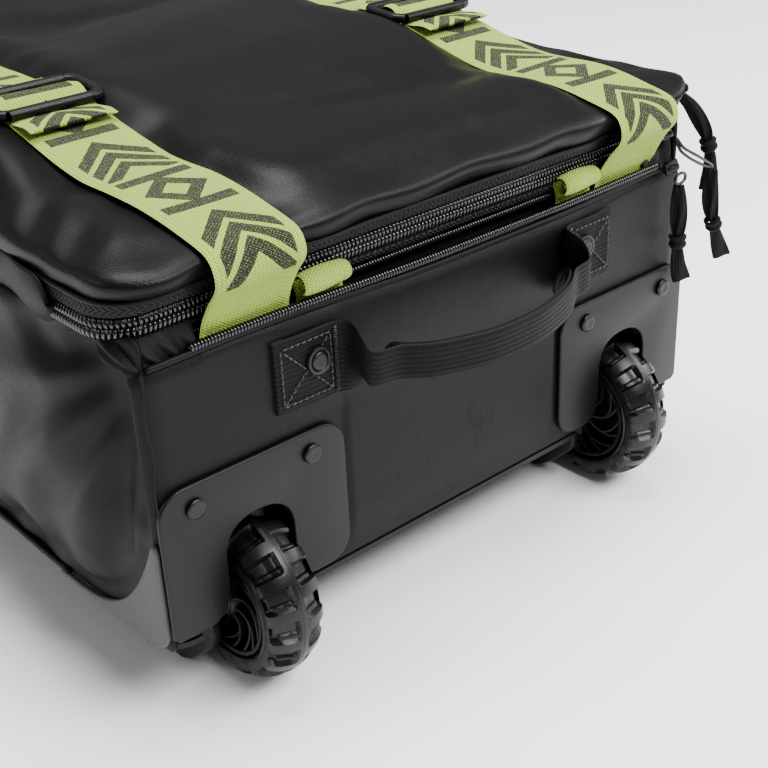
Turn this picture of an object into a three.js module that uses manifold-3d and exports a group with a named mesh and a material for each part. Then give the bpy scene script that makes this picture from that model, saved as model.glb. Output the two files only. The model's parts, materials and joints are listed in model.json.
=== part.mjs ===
// Rolling duffel bag with two off-road wheels, a telescopic pull handle and cargo straps.
// Millimetres. +Z is up with the bag lying on its back, +X is right seen from the wheel end,
// and +Y runs from the wheel end to the pull-handle end. The origin is the middle of the
// footprint, on the ground.
import * as THREE from "three";
import { mergeVertices } from "three/addons/utils/BufferGeometryUtils.js";
import Module from "manifold-3d";

const wasm = await Module();
wasm.setup();

// ---------------------------------------------------------------- driving dimensions
const HALF_WIDTH = 180;          // half the width over the moulded corners
const FRONT_Y = -255;            // outer face of the wheel-end panel
const REAR_Y = 288;              // outer face of the handle-end panel
const PANEL_BOTTOM_Z = 46;
const PANEL_TOP_Z = 183.5;
const TRAY_Z = 35.5;             // underside of the base tray
const ZIP_Z = 196;               // underside of the main zip
const LID_Z = 203;               // bottom edge of the lid
const LID_FRONT_TOP_Z = 234;     // lid height near its ends
const LID_MIDDLE_RISE = 16;      // extra height of the packed middle of the lid
const GAP = 0.3;                 // clearance between touching pieces
const SHEET = 4;                 // fabric with its foam

const WHEEL_RADIUS = 44.5;
const WHEEL_HALF_WIDTH = 14.9;
const WHEEL_X = 128.3;
const WHEEL_Y = FRONT_Y + 13.4;
const RIM_RADIUS = 29.4;
const HUB_RADIUS = 8;
const AXLE_RADIUS = 4;
const WELL_INNER_X = 103;        // wheel housing, inner wall face nearest the middle
const WELL_OUTER_X = 157;
const WELL_WALL = 3;
const WELL_RADIUS = 54;

const PLATE_INNER_X = 76;        // kick plates reach from here to the corners
const PLATE_TOP_Z = 124;
const PLATE_THICKNESS = 2.4;
const RIVET_Z = 112.3;
const RIVET_XS = [161.2, 96.2];
const HANDLE_RIVET_X = 90;
const HANDLE_Z = 156;

const ZIP_FRONT_Y = FRONT_Y + 9; // outer edge of the main zip at the wheel end
const ZIP_HALF_X = 184;
const ZIP_CORNER = 18;
const ZIP_WIDTH = 8;
const ZIP_RIGHT_RISE = 20;        // the zip climbs by this much on to the right-hand side
const ZIP_RISE_X = ZIP_HALF_X - ZIP_CORNER;
const ZIP_END_Y = 60;            // the zip stops this far from each end on the left side

const STRAP_CENTRES = { left: -119, right: 135 };
const STRAP_WIDTH = 48;
const WEBBING = 2;
const BUCKLE_Y = FRONT_Y + 166;

const TUBE_X = 58;               // pull handle tubes
const TUBE_Z = 55;
const TUBE_OUTER = [24, 14];     // width and height of the fixed tubes
const TUBE_INNER = [20, 10];
const TUBE_WALL = 1.5;

// ---------------------------------------------------------------- shapes and solids
function polygon(points) {
  return new THREE.Shape(points.map(([a, b]) => new THREE.Vector2(a, b)));
}

function roundedRect(x0, y0, x1, y1, radius) {
  const shape = new THREE.Shape();
  shape.moveTo(x0 + radius, y0);
  shape.lineTo(x1 - radius, y0);
  shape.absarc(x1 - radius, y0 + radius, radius, -Math.PI / 2, 0);
  shape.lineTo(x1, y1 - radius);
  shape.absarc(x1 - radius, y1 - radius, radius, 0, Math.PI / 2);
  shape.lineTo(x0 + radius, y1);
  shape.absarc(x0 + radius, y1 - radius, radius, Math.PI / 2, Math.PI);
  shape.lineTo(x0, y0 + radius);
  shape.absarc(x0 + radius, y0 + radius, radius, Math.PI, Math.PI * 1.5);
  return shape;
}

const AXIS = {
  x: new THREE.Vector3(1, 0, 0),
  y: new THREE.Vector3(0, 1, 0),
  z: new THREE.Vector3(0, 0, 1),
};

// A flat outline pushed along one axis. The outline's two coordinates are (y, z) when it
// goes along X, (x, z) when it goes along Y and (x, y) when it goes along Z.
function extrude(axis, shape, low, high, curveSegments = 4) {
  const geometry = new THREE.ExtrudeGeometry(shape, {
    depth: high - low, bevelEnabled: false, curveSegments,
  });
  const turn = new THREE.Matrix4();
  if (axis === "x") {
    turn.makeBasis(AXIS.y, AXIS.z, AXIS.x).setPosition(low, 0, 0);
  } else if (axis === "y") {
    turn.makeBasis(AXIS.x, AXIS.z, AXIS.y.clone().negate()).setPosition(0, high, 0);
  } else {
    turn.setPosition(0, 0, low);
  }
  return geometry.applyMatrix4(turn);
}

function block(x0, x1, y0, y1, z0, z1) {
  const geometry = new THREE.BoxGeometry(x1 - x0, y1 - y0, z1 - z0);
  return geometry.translate((x0 + x1) / 2, (y0 + y1) / 2, (z0 + z1) / 2);
}

// A turned piece on an axis along X. Profile points are [x, radius].
function turnedX(profile, y, z, segments = 24) {
  const points = profile.map(([along, radius]) => new THREE.Vector2(radius, along));
  const geometry = new THREE.LatheGeometry(points, segments);
  const turn = new THREE.Matrix4().makeBasis(AXIS.y, AXIS.x, AXIS.z.clone().negate());
  return geometry.applyMatrix4(turn.setPosition(0, y, z));
}

// A turned piece on an axis along Y. Profile points are [y, radius].
function turnedY(profile, x, z, segments = 12) {
  const points = profile.map(([along, radius]) => new THREE.Vector2(radius, along));
  return new THREE.LatheGeometry(points, segments).translate(x, 0, z);
}

function solid(geometry) {
  const bare = geometry.clone();
  bare.deleteAttribute("normal");
  bare.deleteAttribute("uv");
  const merged = mergeVertices(bare, 1e-4);
  const mesh = new wasm.Mesh({
    numProp: 3,
    vertProperties: new Float32Array(merged.attributes.position.array),
    triVerts: new Uint32Array(merged.index.array),
  });
  return new wasm.Manifold(mesh);
}

function geometryOf(body) {
  const mesh = body.getMesh();
  const geometry = new THREE.BufferGeometry();
  geometry.setAttribute("position", new THREE.BufferAttribute(mesh.vertProperties, 3));
  geometry.setIndex(new THREE.BufferAttribute(mesh.triVerts, 1));
  return geometry;
}

function union(...geometries) {
  return geometryOf(geometries.map(solid).reduce((a, b) => a.add(b)));
}

function cut(geometry, ...tools) {
  return geometryOf(tools.map(solid).reduce((a, b) => a.subtract(b), solid(geometry)));
}

// A band of even thickness along a flat path, as an outline to extrude.
function band(path, thickness) {
  const left = [];
  const right = [];
  path.forEach(([a, b], i) => {
    const before = path[Math.max(i - 1, 0)];
    const after = path[Math.min(i + 1, path.length - 1)];
    const run = Math.hypot(after[0] - before[0], after[1] - before[1]);
    const na = (-(after[1] - before[1]) / run) * (thickness / 2);
    const nb = ((after[0] - before[0]) / run) * (thickness / 2);
    left.push([a + na, b + nb]);
    right.push([a - na, b - nb]);
  });
  return polygon([...left, ...right.reverse()]);
}

function curve(points, steps) {
  const spline = new THREE.CatmullRomCurve3(
    points.map(([a, b]) => new THREE.Vector3(a, b, 0)), false, "centripetal");
  return spline.getSpacedPoints(steps).map((p) => [p.x, p.y]);
}

const smooth = THREE.MathUtils.smoothstep;

// How much higher the zip runs at a given x than it does at the wheel end.
function zipRise(x) {
  const along = (x - ZIP_RISE_X) / (ZIP_HALF_X - ZIP_RISE_X);
  return ZIP_RIGHT_RISE * Math.min(Math.max(along, 0), 1);
}

// ---------------------------------------------------------------- materials and nodes
const FINISHES = {
  coated: { color: 0x232324, roughness: 0.55, metalness: 0 },
  twill: { color: 0x1d1d1f, roughness: 0.75, metalness: 0 },
  plastic: { color: 0x303133, roughness: 0.5, metalness: 0 },
  guard: { color: 0x5a5955, roughness: 0.6, metalness: 0 },
  tyre: { color: 0x1b1c1e, roughness: 0.5, metalness: 0 },
  lime: { color: 0xcbdc8c, roughness: 0.8, metalness: 0 },
  webbing: { color: 0x19191a, roughness: 0.85, metalness: 0 },
  zip: { color: 0x141415, roughness: 0.4, metalness: 0 },
  steel: { color: 0x9a9c9e, roughness: 0.3, metalness: 1 },
  aluminium: { color: 0xb4b6b8, roughness: 0.35, metalness: 1 },
};

const bag = new THREE.Group();

function add(name, geometry, finish) {
  const material = new THREE.MeshStandardMaterial(FINISHES[finish]);
  const mesh = new THREE.Mesh(geometry, material);
  mesh.name = name;
  bag.add(mesh);
}

const SIDES = { left: -1, right: 1 };

// Orders two x values given for the right-hand side, on either side of the bag.
function sideX(side, near, far) {
  return side > 0 ? [near, far] : [-far, -near];
}

// ---------------------------------------------------------------- wheel-end panel
// The opening for a wheel: straight sides, a round top, and a bottom that flares out.
function wheelArch(side) {
  const centre = side * WHEEL_X;
  const half = 19;
  const flare = 16;
  const springZ = 78;
  const shape = new THREE.Shape();
  shape.moveTo(centre - half - flare, PANEL_BOTTOM_Z - 8);
  shape.lineTo(centre + half + flare, PANEL_BOTTOM_Z - 8);
  shape.lineTo(centre + half + flare, PANEL_BOTTOM_Z);
  shape.quadraticCurveTo(centre + half, PANEL_BOTTOM_Z + 1, centre + half, PANEL_BOTTOM_Z + 20);
  shape.lineTo(centre + half, springZ);
  shape.quadraticCurveTo(centre + half, springZ + half - 1, centre, springZ + half - 1);
  shape.quadraticCurveTo(centre - half, springZ + half - 1, centre - half, springZ);
  shape.lineTo(centre - half, PANEL_BOTTOM_Z + 20);
  shape.quadraticCurveTo(centre - half, PANEL_BOTTOM_Z + 1, centre - half - flare, PANEL_BOTTOM_Z);
  return shape;
}

function archTool(side) {
  return extrude("y", wheelArch(side), FRONT_Y - 10, FRONT_Y + 10);
}

function rivetHole(x, z) {
  return turnedY([[FRONT_Y - 12, 0], [FRONT_Y - 12, 2.4], [FRONT_Y + 8, 2.4], [FRONT_Y + 8, 0]],
    x, z, 12);
}

function buildWheelEnd() {
  const sheet = roundedRect(-HALF_WIDTH + 2, PANEL_BOTTOM_Z, HALF_WIDTH - 2, PANEL_TOP_Z, 5);
  const panelHoles = [-1, 1].flatMap((side) => [
    ...RIVET_XS.map((x) => rivetHole(side * x, RIVET_Z)),
    rivetHole(side * HANDLE_RIVET_X, HANDLE_Z + 3),
  ]);
  add("wheel_end_panel", cut(extrude("y", sheet, FRONT_Y, FRONT_Y + SHEET),
    archTool(-1), archTool(1), ...panelHoles), "coated");

  for (const [name, side] of Object.entries(SIDES)) {
    const [x0, x1] = sideX(side, PLATE_INNER_X, HALF_WIDTH);
    const outline = roundedRect(x0, PANEL_BOTTOM_Z + 1, x1, PLATE_TOP_Z, 14);
    const plate = extrude("y", outline, FRONT_Y - GAP - PLATE_THICKNESS, FRONT_Y - GAP);
    const holes = RIVET_XS.map((x) => rivetHole(side * x, RIVET_Z));
    add(`kick_plate_${name}`, cut(plate, archTool(side), ...holes), "plastic");
    RIVET_XS.forEach((x, i) => {
      const place = i === 0 ? "outer" : "inner";
      const face = FRONT_Y - 2 * GAP - PLATE_THICKNESS;
      add(`plate_rivet_${name}_${place}`, rivet(face, FRONT_Y + SHEET - 0.5, side * x, RIVET_Z),
        "steel");
    });
  }
}

// Head and shank: the head stands off the face at faceY, and the shank ends at endY.
function rivet(faceY, endY, x, z) {
  const head = 1.9;
  const radius = 5;
  return turnedY([
    [faceY - head, 0], [faceY - head, radius - 0.8], [faceY - head + 0.6, radius],
    [faceY, radius], [faceY, 2], [endY, 2], [endY, 0],
  ], x, z);
}

// ---------------------------------------------------------------- side walls, back and tray
// Height of the corner guard's concave upper edge, by distance behind the wheel-end panel.
const GUARD_LENGTH = 93;
const GUARD_TOP = 99;
const GUARD_BOTTOM = 38.8;

function guardEdge(s) {
  const fall = 1 - Math.pow(1 - Math.min(Math.max(s - 4, 0) / GUARD_LENGTH, 1), 3.2);
  return GUARD_TOP + (GUARD_BOTTOM - GUARD_TOP) * fall;
}

// Distance of a side wall's outer face from the bag's middle plane.
function sideOffset(s, z, length) {
  const floor = guardEdge(s - 8) + 14;
  const ends = smooth(s, 4, 60) * smooth(length - s, 4, 60);
  const clear = smooth(z, floor, floor + 40);
  const rise = (z - GUARD_BOTTOM) / (ZIP_Z - GUARD_BOTTOM);
  const belly = smooth(ZIP_Z - z, -30, 70);
  return 178.5 + ends * clear * (5.2 * rise * rise + 10 * belly);
}

function sideWall(side) {
  const length = REAR_Y - FRONT_Y;
  const rows = 8;
  const columns = 16;
  const bottom = GUARD_BOTTOM;
  const top = ZIP_Z - GAP;
  const rings = [];
  for (let c = 0; c <= columns; c++) {
    const s = 5 + (length - 10) * (0.5 - 0.5 * Math.cos((Math.PI * c) / columns));
    const y = FRONT_Y + s;
    const outer = [];
    const inner = [];
    for (let r = 0; r <= rows; r++) {
      const z = bottom + (top - bottom) * (r / rows);
      const x = sideOffset(s, z, length);
      const share = (r / rows) ** 2;
      const wall = [x, x - SHEET - 1].map((offset) =>
        [side * offset, y, z + share * zipRise(side * offset)]);
      outer.push(wall[0]);
      inner.push(wall[1]);
    }
    rings.push([...outer, ...inner.reverse()]);
  }
  return loftAlongY(rings, side > 0);
}

// Rings that each lie across the Y axis, capped at both ends.
function loftAlongY(rings, flip) {
  const size = rings[0].length;
  const index = [];
  const half = size / 2;
  const push = (a, b, c) => (flip ? index.push(a, c, b) : index.push(a, b, c));
  for (let r = 0; r < rings.length - 1; r++) {
    for (let i = 0; i < size; i++) {
      const j = (i + 1) % size;
      const a = r * size;
      const b = a + size;
      push(a + i, a + j, b + j);
      push(a + i, b + j, b + i);
    }
  }
  const last = (rings.length - 1) * size;
  for (let i = 0; i < half - 1; i++) {
    const k = size - 1 - i;
    push(i, k, i + 1);
    push(i + 1, k, k - 1);
    push(last + i, last + i + 1, last + k);
    push(last + i + 1, last + k - 1, last + k);
  }
  const geometry = new THREE.BufferGeometry();
  geometry.setAttribute("position", new THREE.Float32BufferAttribute(rings.flat(2), 3));
  geometry.setIndex(index);
  return geometry;
}

function cornerGuard(side) {
  const points = [[FRONT_Y + 0.5, TRAY_Z + 0.5], [FRONT_Y + 0.5, GUARD_TOP - 5]];
  const steps = 14;
  for (let i = 0; i <= steps; i++) {
    const s = 4 + GUARD_LENGTH * (i / steps);
    points.push([FRONT_Y + s, guardEdge(s)]);
  }
  points.push([FRONT_Y + GUARD_LENGTH + 4, TRAY_Z + 0.5]);
  const [x0, x1] = sideX(side, 179, 182);
  return extrude("x", polygon(points), x0, x1);
}

function wheelWell(side, grow) {
  const [x0, x1] = sideX(side, WELL_INNER_X - grow, WELL_OUTER_X + grow);
  return block(x0, x1, FRONT_Y - 10, WHEEL_Y + WELL_RADIUS + 1 + grow, 0, 110);
}

function buildTray() {
  const plan = roundedRect(-178.5, FRONT_Y + 5, 178.5, REAR_Y - 5, 14);
  const plate = extrude("z", plan, TRAY_Z, TRAY_Z + 3);
  const rim = roundedRect(-172.8, FRONT_Y + 6, 172.8, REAR_Y - 6, 10);
  const inside = roundedRect(-169.8, FRONT_Y + 9, 169.8, REAR_Y - 9, 8);
  const bezelGap = block(-96, 96, REAR_Y - 24, REAR_Y + 5, TRAY_Z + 3, 90);
  const wells = Object.values(SIDES).map((side) => wheelWell(side, 3.6));
  const walls = cut(extrude("z", rim, TRAY_Z + 1, 72.7), extrude("z", inside, TRAY_Z, 80));
  add("base_tray", cut(union(plate, walls), bezelGap, ...wells), "plastic");

  const board = roundedRect(-172.6, FRONT_Y + 17, 172.6, REAR_Y - 6, 8);
  add("floor_board", cut(extrude("z", board, 73, 75.5),
    block(-96, 96, REAR_Y - 24, REAR_Y + 5, 60, 90), ...wells), "plastic");
}

function wheelHousing(side) {
  const profile = (radius, front, low) => {
    const shape = new THREE.Shape();
    shape.moveTo(front, low);
    shape.lineTo(WHEEL_Y + radius, low);
    shape.absarc(WHEEL_Y, WHEEL_RADIUS, radius, 0, Math.PI / 2);
    shape.lineTo(front, WHEEL_RADIUS + radius);
    return shape;
  };
  const front = FRONT_Y + SHEET + 0.4;
  const [x0, x1] = sideX(side, WELL_INNER_X, WELL_OUTER_X);
  const [i0, i1] = sideX(side, WELL_INNER_X + WELL_WALL, WELL_OUTER_X - WELL_WALL);
  const outer = extrude("x", profile(WELL_RADIUS, front, 36), x0, x1, 10);
  const inner = extrude("x", profile(WELL_RADIUS - WELL_WALL, front - 5, 20), i0, i1, 10);
  const bore = turnedX([[x0 - 5, 0], [x0 - 5, 4.4], [x1 + 5, 4.4], [x1 + 5, 0]],
    WHEEL_Y, WHEEL_RADIUS, 20);
  return cut(outer, inner, bore);
}

// The runner under the bag starts as a fork around the wheel.
const RUNNER_TOP_Z = TRAY_Z - GAP;
const FORK_SLOT_END = WHEEL_Y + WELL_RADIUS - 2;
const FORK_END = FORK_SLOT_END + 14;

function skidFork(side) {
  const profile = polygon([
    [FRONT_Y + 1, 0], [FORK_END, 0], [FORK_END, RUNNER_TOP_Z], [FRONT_Y + 46, RUNNER_TOP_Z],
    [FRONT_Y + 33, 14], [FRONT_Y + 2, 7], [FRONT_Y - 1, 3],
  ]);
  const slot = block(...sideX(side, 109, 147.5), FRONT_Y - 10, FORK_SLOT_END, -1, 60);
  return cut(extrude("x", profile, ...sideX(side, WELL_INNER_X, 154)), slot);
}

// Behind the fork the runner is a rail with an open top under the tray.
function skidRail(side) {
  const start = FORK_END + GAP;
  const profile = polygon([
    [start, 0], [REAR_Y - 34, 0], [REAR_Y - 14, RUNNER_TOP_Z], [start, RUNNER_TOP_Z],
  ]);
  const core = block(...sideX(side, 115.5, 141.5), start + 4, REAR_Y - 50, 4, 60);
  return cut(extrude("x", profile, ...sideX(side, 112, 145)), core);
}

function buildShell() {
  for (const [name, side] of Object.entries(SIDES)) {
    add(`side_panel_${name}`, sideWall(side), "twill");
    add(`corner_guard_${name}`, cornerGuard(side), "guard");
    add(`wheel_housing_${name}`, wheelHousing(side), "plastic");
    add(`skid_fork_${name}`, skidFork(side), "plastic");
    add(`skid_rail_${name}`, skidRail(side), "plastic");
  }
  buildTray();
  const rear = roundedRect(-HALF_WIDTH + 2, PANEL_BOTTOM_Z, HALF_WIDTH - 2, ZIP_Z - GAP, 5);
  add("rear_panel", cut(extrude("y", rear, REAR_Y - SHEET, REAR_Y),
    block(-93.5, 93.5, REAR_Y - 20, REAR_Y + 20, 20, 79.5)), "twill");
}

// ---------------------------------------------------------------- wheels
function buildWheels() {
  const w = WHEEL_HALF_WIDTH;
  const shoulder = WHEEL_RADIUS - 4.6;
  const tread = [];
  const steps = 6;
  for (let i = 0; i <= steps; i++) {
    const t = -1 + (2 * i) / steps;
    tread.push([t * w, shoulder + (WHEEL_RADIUS - shoulder) * (1 - t * t)]);
  }
  const bore = RIM_RADIUS + GAP;
  for (const [name, side] of Object.entries(SIDES)) {
    const x = side * WHEEL_X;
    const tyre = [[-w, bore], ...tread, [w, bore], [-w, bore]];
    add(`tyre_${name}`, turnedX(tyre.map(([a, r]) => [a + x, r]), WHEEL_Y, WHEEL_RADIUS, 36),
      "tyre");
    add(`rim_${name}`, rim(x), "plastic");
    const [a0, a1] = sideX(side, WELL_INNER_X, WELL_OUTER_X);
    const sleeve = HUB_RADIUS - 1.5;
    add(`axle_${name}`, turnedX([
      [a0 - 3, 0], [a0 - 3, 6.5], [a0 - GAP, 6.5], [a0 - GAP, AXLE_RADIUS],
      [a0 + WELL_WALL + GAP, AXLE_RADIUS], [a0 + WELL_WALL + GAP, sleeve],
      [x - w - GAP, sleeve], [x - w - GAP, AXLE_RADIUS], [x + w + GAP, AXLE_RADIUS],
      [x + w + GAP, sleeve], [a1 - WELL_WALL - GAP, sleeve],
      [a1 - WELL_WALL - GAP, AXLE_RADIUS], [a1 + GAP, AXLE_RADIUS], [a1 + GAP, 6.5],
      [a1 + 3, 6.5], [a1 + 3, 0],
    ], WHEEL_Y, WHEEL_RADIUS, 12), "steel");
  }
}

// Hub, ring and swept spokes.
function rim(x) {
  const w = WHEEL_HALF_WIDTH;
  const spokes = 10;
  const ringInner = RIM_RADIUS - 3.4;
  const ring = turnedX([[x - w + 1, ringInner], [x - w + 1, RIM_RADIUS], [x + w - 1, RIM_RADIUS],
    [x + w - 1, ringInner], [x - w + 1, ringInner]], WHEEL_Y, WHEEL_RADIUS, 30);
  const bore = AXLE_RADIUS + 0.4;
  const hub = turnedX([[x - w, bore], [x - w, HUB_RADIUS], [x + w, HUB_RADIUS], [x + w, bore],
    [x - w, bore]], WHEEL_Y, WHEEL_RADIUS, 16);
  const pieces = [ring, hub];
  for (let i = 0; i < spokes; i++) {
    const start = (i / spokes) * Math.PI * 2;
    const path = [0, 1, 2, 3, 4].map((k) => {
      const radius = HUB_RADIUS - 1 + (ringInner + 1.5 - HUB_RADIUS) * (k / 4);
      const angle = start + 0.75 * (k / 4) * (k / 4);
      return [WHEEL_Y + radius * Math.cos(angle), WHEEL_RADIUS + radius * Math.sin(angle)];
    });
    pieces.push(extrude("x", band(path, 2.2), x - w + 3, x + w - 3));
  }
  return union(...pieces);
}

// ---------------------------------------------------------------- zips and strap pocket
// A band along the zip's route, from the hinge side's front end round to its rear end. The
// band follows the zip's rise, so its corners are cut into short pieces.
function zipBand(z0, z1) {
  const corner = (x, y, start) => {
    const steps = 5;
    return Array.from({ length: steps + 1 }, (_, i) => {
      const angle = start + (Math.PI / 2) * (i / steps);
      const normal = [Math.cos(angle), Math.sin(angle)];
      return { point: [x + ZIP_CORNER * normal[0], y + ZIP_CORNER * normal[1]], normal };
    });
  };
  const x = ZIP_HALF_X - ZIP_CORNER;
  const front = ZIP_FRONT_Y + ZIP_CORNER;
  const rear = REAR_Y - ZIP_CORNER;
  const hingeSide = (y) => ({ point: [-ZIP_HALF_X, y], normal: [-1, 0] });
  const stations = [
    hingeSide(FRONT_Y + ZIP_END_Y),
    ...corner(-x, front, Math.PI), ...corner(x, front, Math.PI * 1.5),
    ...corner(x, rear, 0), ...corner(-x, rear, Math.PI / 2),
    hingeSide(REAR_Y - ZIP_END_Y),
  ];
  const positions = [];
  for (const { point, normal } of stations) {
    for (const [depth, z] of [[0, z0], [0, z1], [ZIP_WIDTH, z1], [ZIP_WIDTH, z0]]) {
      const px = point[0] - normal[0] * depth;
      positions.push(px, point[1] - normal[1] * depth, z + zipRise(px));
    }
  }
  const index = [0, 1, 2, 0, 2, 3];
  for (let s = 0; s < stations.length - 1; s++) {
    for (let i = 0; i < 4; i++) {
      const a = s * 4 + i;
      const b = s * 4 + ((i + 1) % 4);
      index.push(a, b + 4, b, a, a + 4, b + 4);
    }
  }
  const last = (stations.length - 1) * 4;
  index.push(last, last + 2, last + 1, last, last + 3, last + 2);
  const geometry = new THREE.BufferGeometry();
  geometry.setAttribute("position", new THREE.Float32BufferAttribute(positions, 3));
  return geometry.setIndex(index);
}

function buildZips() {
  add("main_zip_lower", zipBand(ZIP_Z, ZIP_Z + 3.2), "zip");
  add("main_zip_upper", zipBand(ZIP_Z + 3.5, ZIP_Z + 6.7), "zip");

  const coilTop = PANEL_TOP_Z + 3.5;
  add("strap_zip_lower", block(-152, 156, FRONT_Y - 1, FRONT_Y + 4, PANEL_TOP_Z + GAP, coilTop),
    "zip");
  add("strap_zip_upper", block(-152, 156, FRONT_Y + 10, FRONT_Y + 14, PANEL_TOP_Z + 1, coilTop),
    "zip");
  const liner = polygon([
    [FRONT_Y + 14.3, 101], [FRONT_Y + 16.3, 101], [FRONT_Y + 16.3, ZIP_Z - GAP],
    [FRONT_Y + 11.5, ZIP_Z - GAP], [FRONT_Y + 11.5, coilTop + GAP],
    [FRONT_Y + 14.3, coilTop + GAP],
  ]);
  add("strap_pocket_liner", extrude("x", liner, -172, 172), "twill");
}

// ---------------------------------------------------------------- lid
const LID_SHOULDER_Z = 221;      // where the lid's wall turns over into its top
const LID_WALL_LIFT = 0.7;       // share of the zip's rise that is gone at the shoulder

// Height of the lid's crown along the bag.
function crown(y) {
  const rise = smooth(y - FRONT_Y, 78, 178) * smooth(REAR_Y - y, 40, 150);
  return LID_FRONT_TOP_Z + LID_MIDDLE_RISE * rise;
}

// Height of the lid's outer face, by distance in from its edge.
function lidTop(inset, y, x = 0) {
  const shoulder = LID_SHOULDER_Z + (1 - LID_WALL_LIFT) * zipRise(x);
  const reach = 1 - Math.pow(1 - Math.min(Math.max(inset, 0) / 45, 1), 2.5);
  return shoulder + (crown(y) - shoulder) * reach;
}

// How far the lid's wall swells out past the zip, by the direction that it faces.
function lidSwell(normalY) {
  const front = Math.max(-normalY, 0);
  const back = Math.max(normalY, 0);
  return 2 + 20 * front * front + 6 * back * back;
}

// Rings of the lid's wall from its bottom edge up: part of the swell, and height.
const LID_WALL = [[0, LID_Z], [0.72, 206.5], [1, 211], [0.88, 216.5], [0.5, LID_SHOULDER_Z]];

function lidOutline() {
  const shape = roundedRect(-ZIP_HALF_X, ZIP_FRONT_Y, ZIP_HALF_X, REAR_Y, ZIP_CORNER);
  const points = [];
  const corners = shape.getPoints(5);
  corners.forEach((p, i) => {
    const next = corners[(i + 1) % corners.length];
    const pieces = Math.max(Math.round(p.distanceTo(next) / 40), 1);
    for (let k = 0; k < pieces; k++) {
      points.push(p.clone().lerp(next, k / pieces));
    }
  });
  return points.filter((p, i) => p.distanceTo(points[(i + 1) % points.length]) > 0.01);
}

function lidRings(depth) {
  const outline = lidOutline();
  const reach = ZIP_HALF_X;
  const spineLow = ZIP_FRONT_Y + reach;
  const spineHigh = REAR_Y - reach;
  const rings = [];
  for (const [part, z] of LID_WALL) {
    rings.push(outline.map((p, i) => {
      const before = outline[(i + outline.length - 1) % outline.length];
      const after = outline[(i + 1) % outline.length];
      const normal = new THREE.Vector2(after.y - before.y, before.x - after.x).normalize();
      const out = part * lidSwell(normal.y) - depth;
      const up = (z - LID_Z) / (LID_SHOULDER_Z - LID_Z);
      const x = p.x + normal.x * out;
      const lift = zipRise(x) * (1 - LID_WALL_LIFT * up);
      return [x, p.y + normal.y * out, z + lift - depth * up * 0.45];
    }));
  }
  for (const inset of [5, 12, 22, 36, 54, 90, 150]) {
    const t = (inset + depth * 0.5) / reach;
    rings.push(outline.map((p) => {
      const spineY = Math.min(Math.max(p.y, spineLow), spineHigh);
      const x = p.x * (1 - t);
      const y = p.y + (spineY - p.y) * t;
      return [x, y, lidTop(inset, y, x) - depth];
    }));
  }
  return rings;
}

function buildLid() {
  const outer = lidRings(0);
  const inner = lidRings(SHEET).filter((_, i) => i === 0 || i % 2 === 1).reverse();
  const size = outer[0].length;
  const cap = (ring) => THREE.ShapeUtils.triangulateShape(
    ring.map(([x, y]) => new THREE.Vector2(x, y)), []);
  const rings = [...outer, ...inner];
  const index = [];
  for (let r = 0; r < rings.length; r++) {
    if (r === outer.length - 1) {
      continue;
    }
    const a = r * size;
    const b = ((r + 1) % rings.length) * size;
    for (let i = 0; i < size; i++) {
      const j = (i + 1) % size;
      index.push(a + i, a + j, b + j, a + i, b + j, b + i);
    }
  }
  const top = (outer.length - 1) * size;
  for (const [i, j, k] of cap(outer.at(-1))) {
    index.push(top + i, top + j, top + k);
  }
  const under = outer.length * size;
  for (const [i, j, k] of cap(inner[0])) {
    index.push(under + i, under + k, under + j);
  }
  const geometry = new THREE.BufferGeometry();
  geometry.setAttribute("position", new THREE.Float32BufferAttribute(rings.flat(2), 3));
  geometry.setIndex(index);
  add("lid_shell", geometry, "coated");
}

// ---------------------------------------------------------------- cargo straps
function strapPath() {
  const lift = WEBBING / 2 + 1.8;
  const swellFront = lidSwell(-1);
  const swellRear = lidSwell(1);
  const points = [[FRONT_Y + 7, 177], [FRONT_Y + 7, 190], [FRONT_Y + 1, 195.5],
    [FRONT_Y - 8, 201]];
  points.push([ZIP_FRONT_Y - swellFront - lift + 1, 206]);
  points.push([ZIP_FRONT_Y - swellFront - lift, 211.5]);
  points.push([ZIP_FRONT_Y - swellFront * 0.88 - lift, 217.5]);
  points.push([ZIP_FRONT_Y - swellFront * 0.5 - lift, 224]);
  for (const inset of [2, 12, 24, 40, 65, 90, 115, 140, 165, 195, 235, 275]) {
    const y = ZIP_FRONT_Y + inset;
    points.push([y, lidTop(inset + 6, y) + lift]);
  }
  for (const inset of [220, 180, 150, 125, 100, 75, 50, 25, 12, 4]) {
    const y = REAR_Y - inset;
    points.push([y, lidTop(inset + 6, y) + lift]);
  }
  points.push([REAR_Y + swellRear * 0.5 + lift, 223]);
  points.push([REAR_Y + swellRear * 0.9 + lift, 217.5]);
  points.push([REAR_Y + swellRear + lift, 211.5]);
  points.push([REAR_Y + swellRear + lift - 1, 206]);
  return points;
}

// The spare end of a strap: it turns sideways in the pocket and rolls up beside the strap,
// on the side towards the middle of the bag.
function rolledTail(side, centre) {
  const length = 28;
  const beside = STRAP_WIDTH / 2 + 4;
  const near = side < 0 ? centre + beside : centre - beside - length;
  const roll = [[FRONT_Y + 7, 177], [FRONT_Y + 7, 186]];
  const turns = 10;
  for (let i = 0; i <= turns; i++) {
    const angle = THREE.MathUtils.degToRad(-15 + 270 * (i / turns));
    roll.push([FRONT_Y + 3.6 + 3.9 * Math.cos(angle), 192.4 + 3.9 * Math.sin(angle)]);
  }
  const bridge = side < 0 ? [near - 5, near + 1] : [near + length - 1, near + length + 5];
  return [
    extrude("x", band(roll, 1.6), near, near + length),
    block(...bridge, FRONT_Y + 6.3, FRONT_Y + 7.7, 178, 183),
  ];
}

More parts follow.
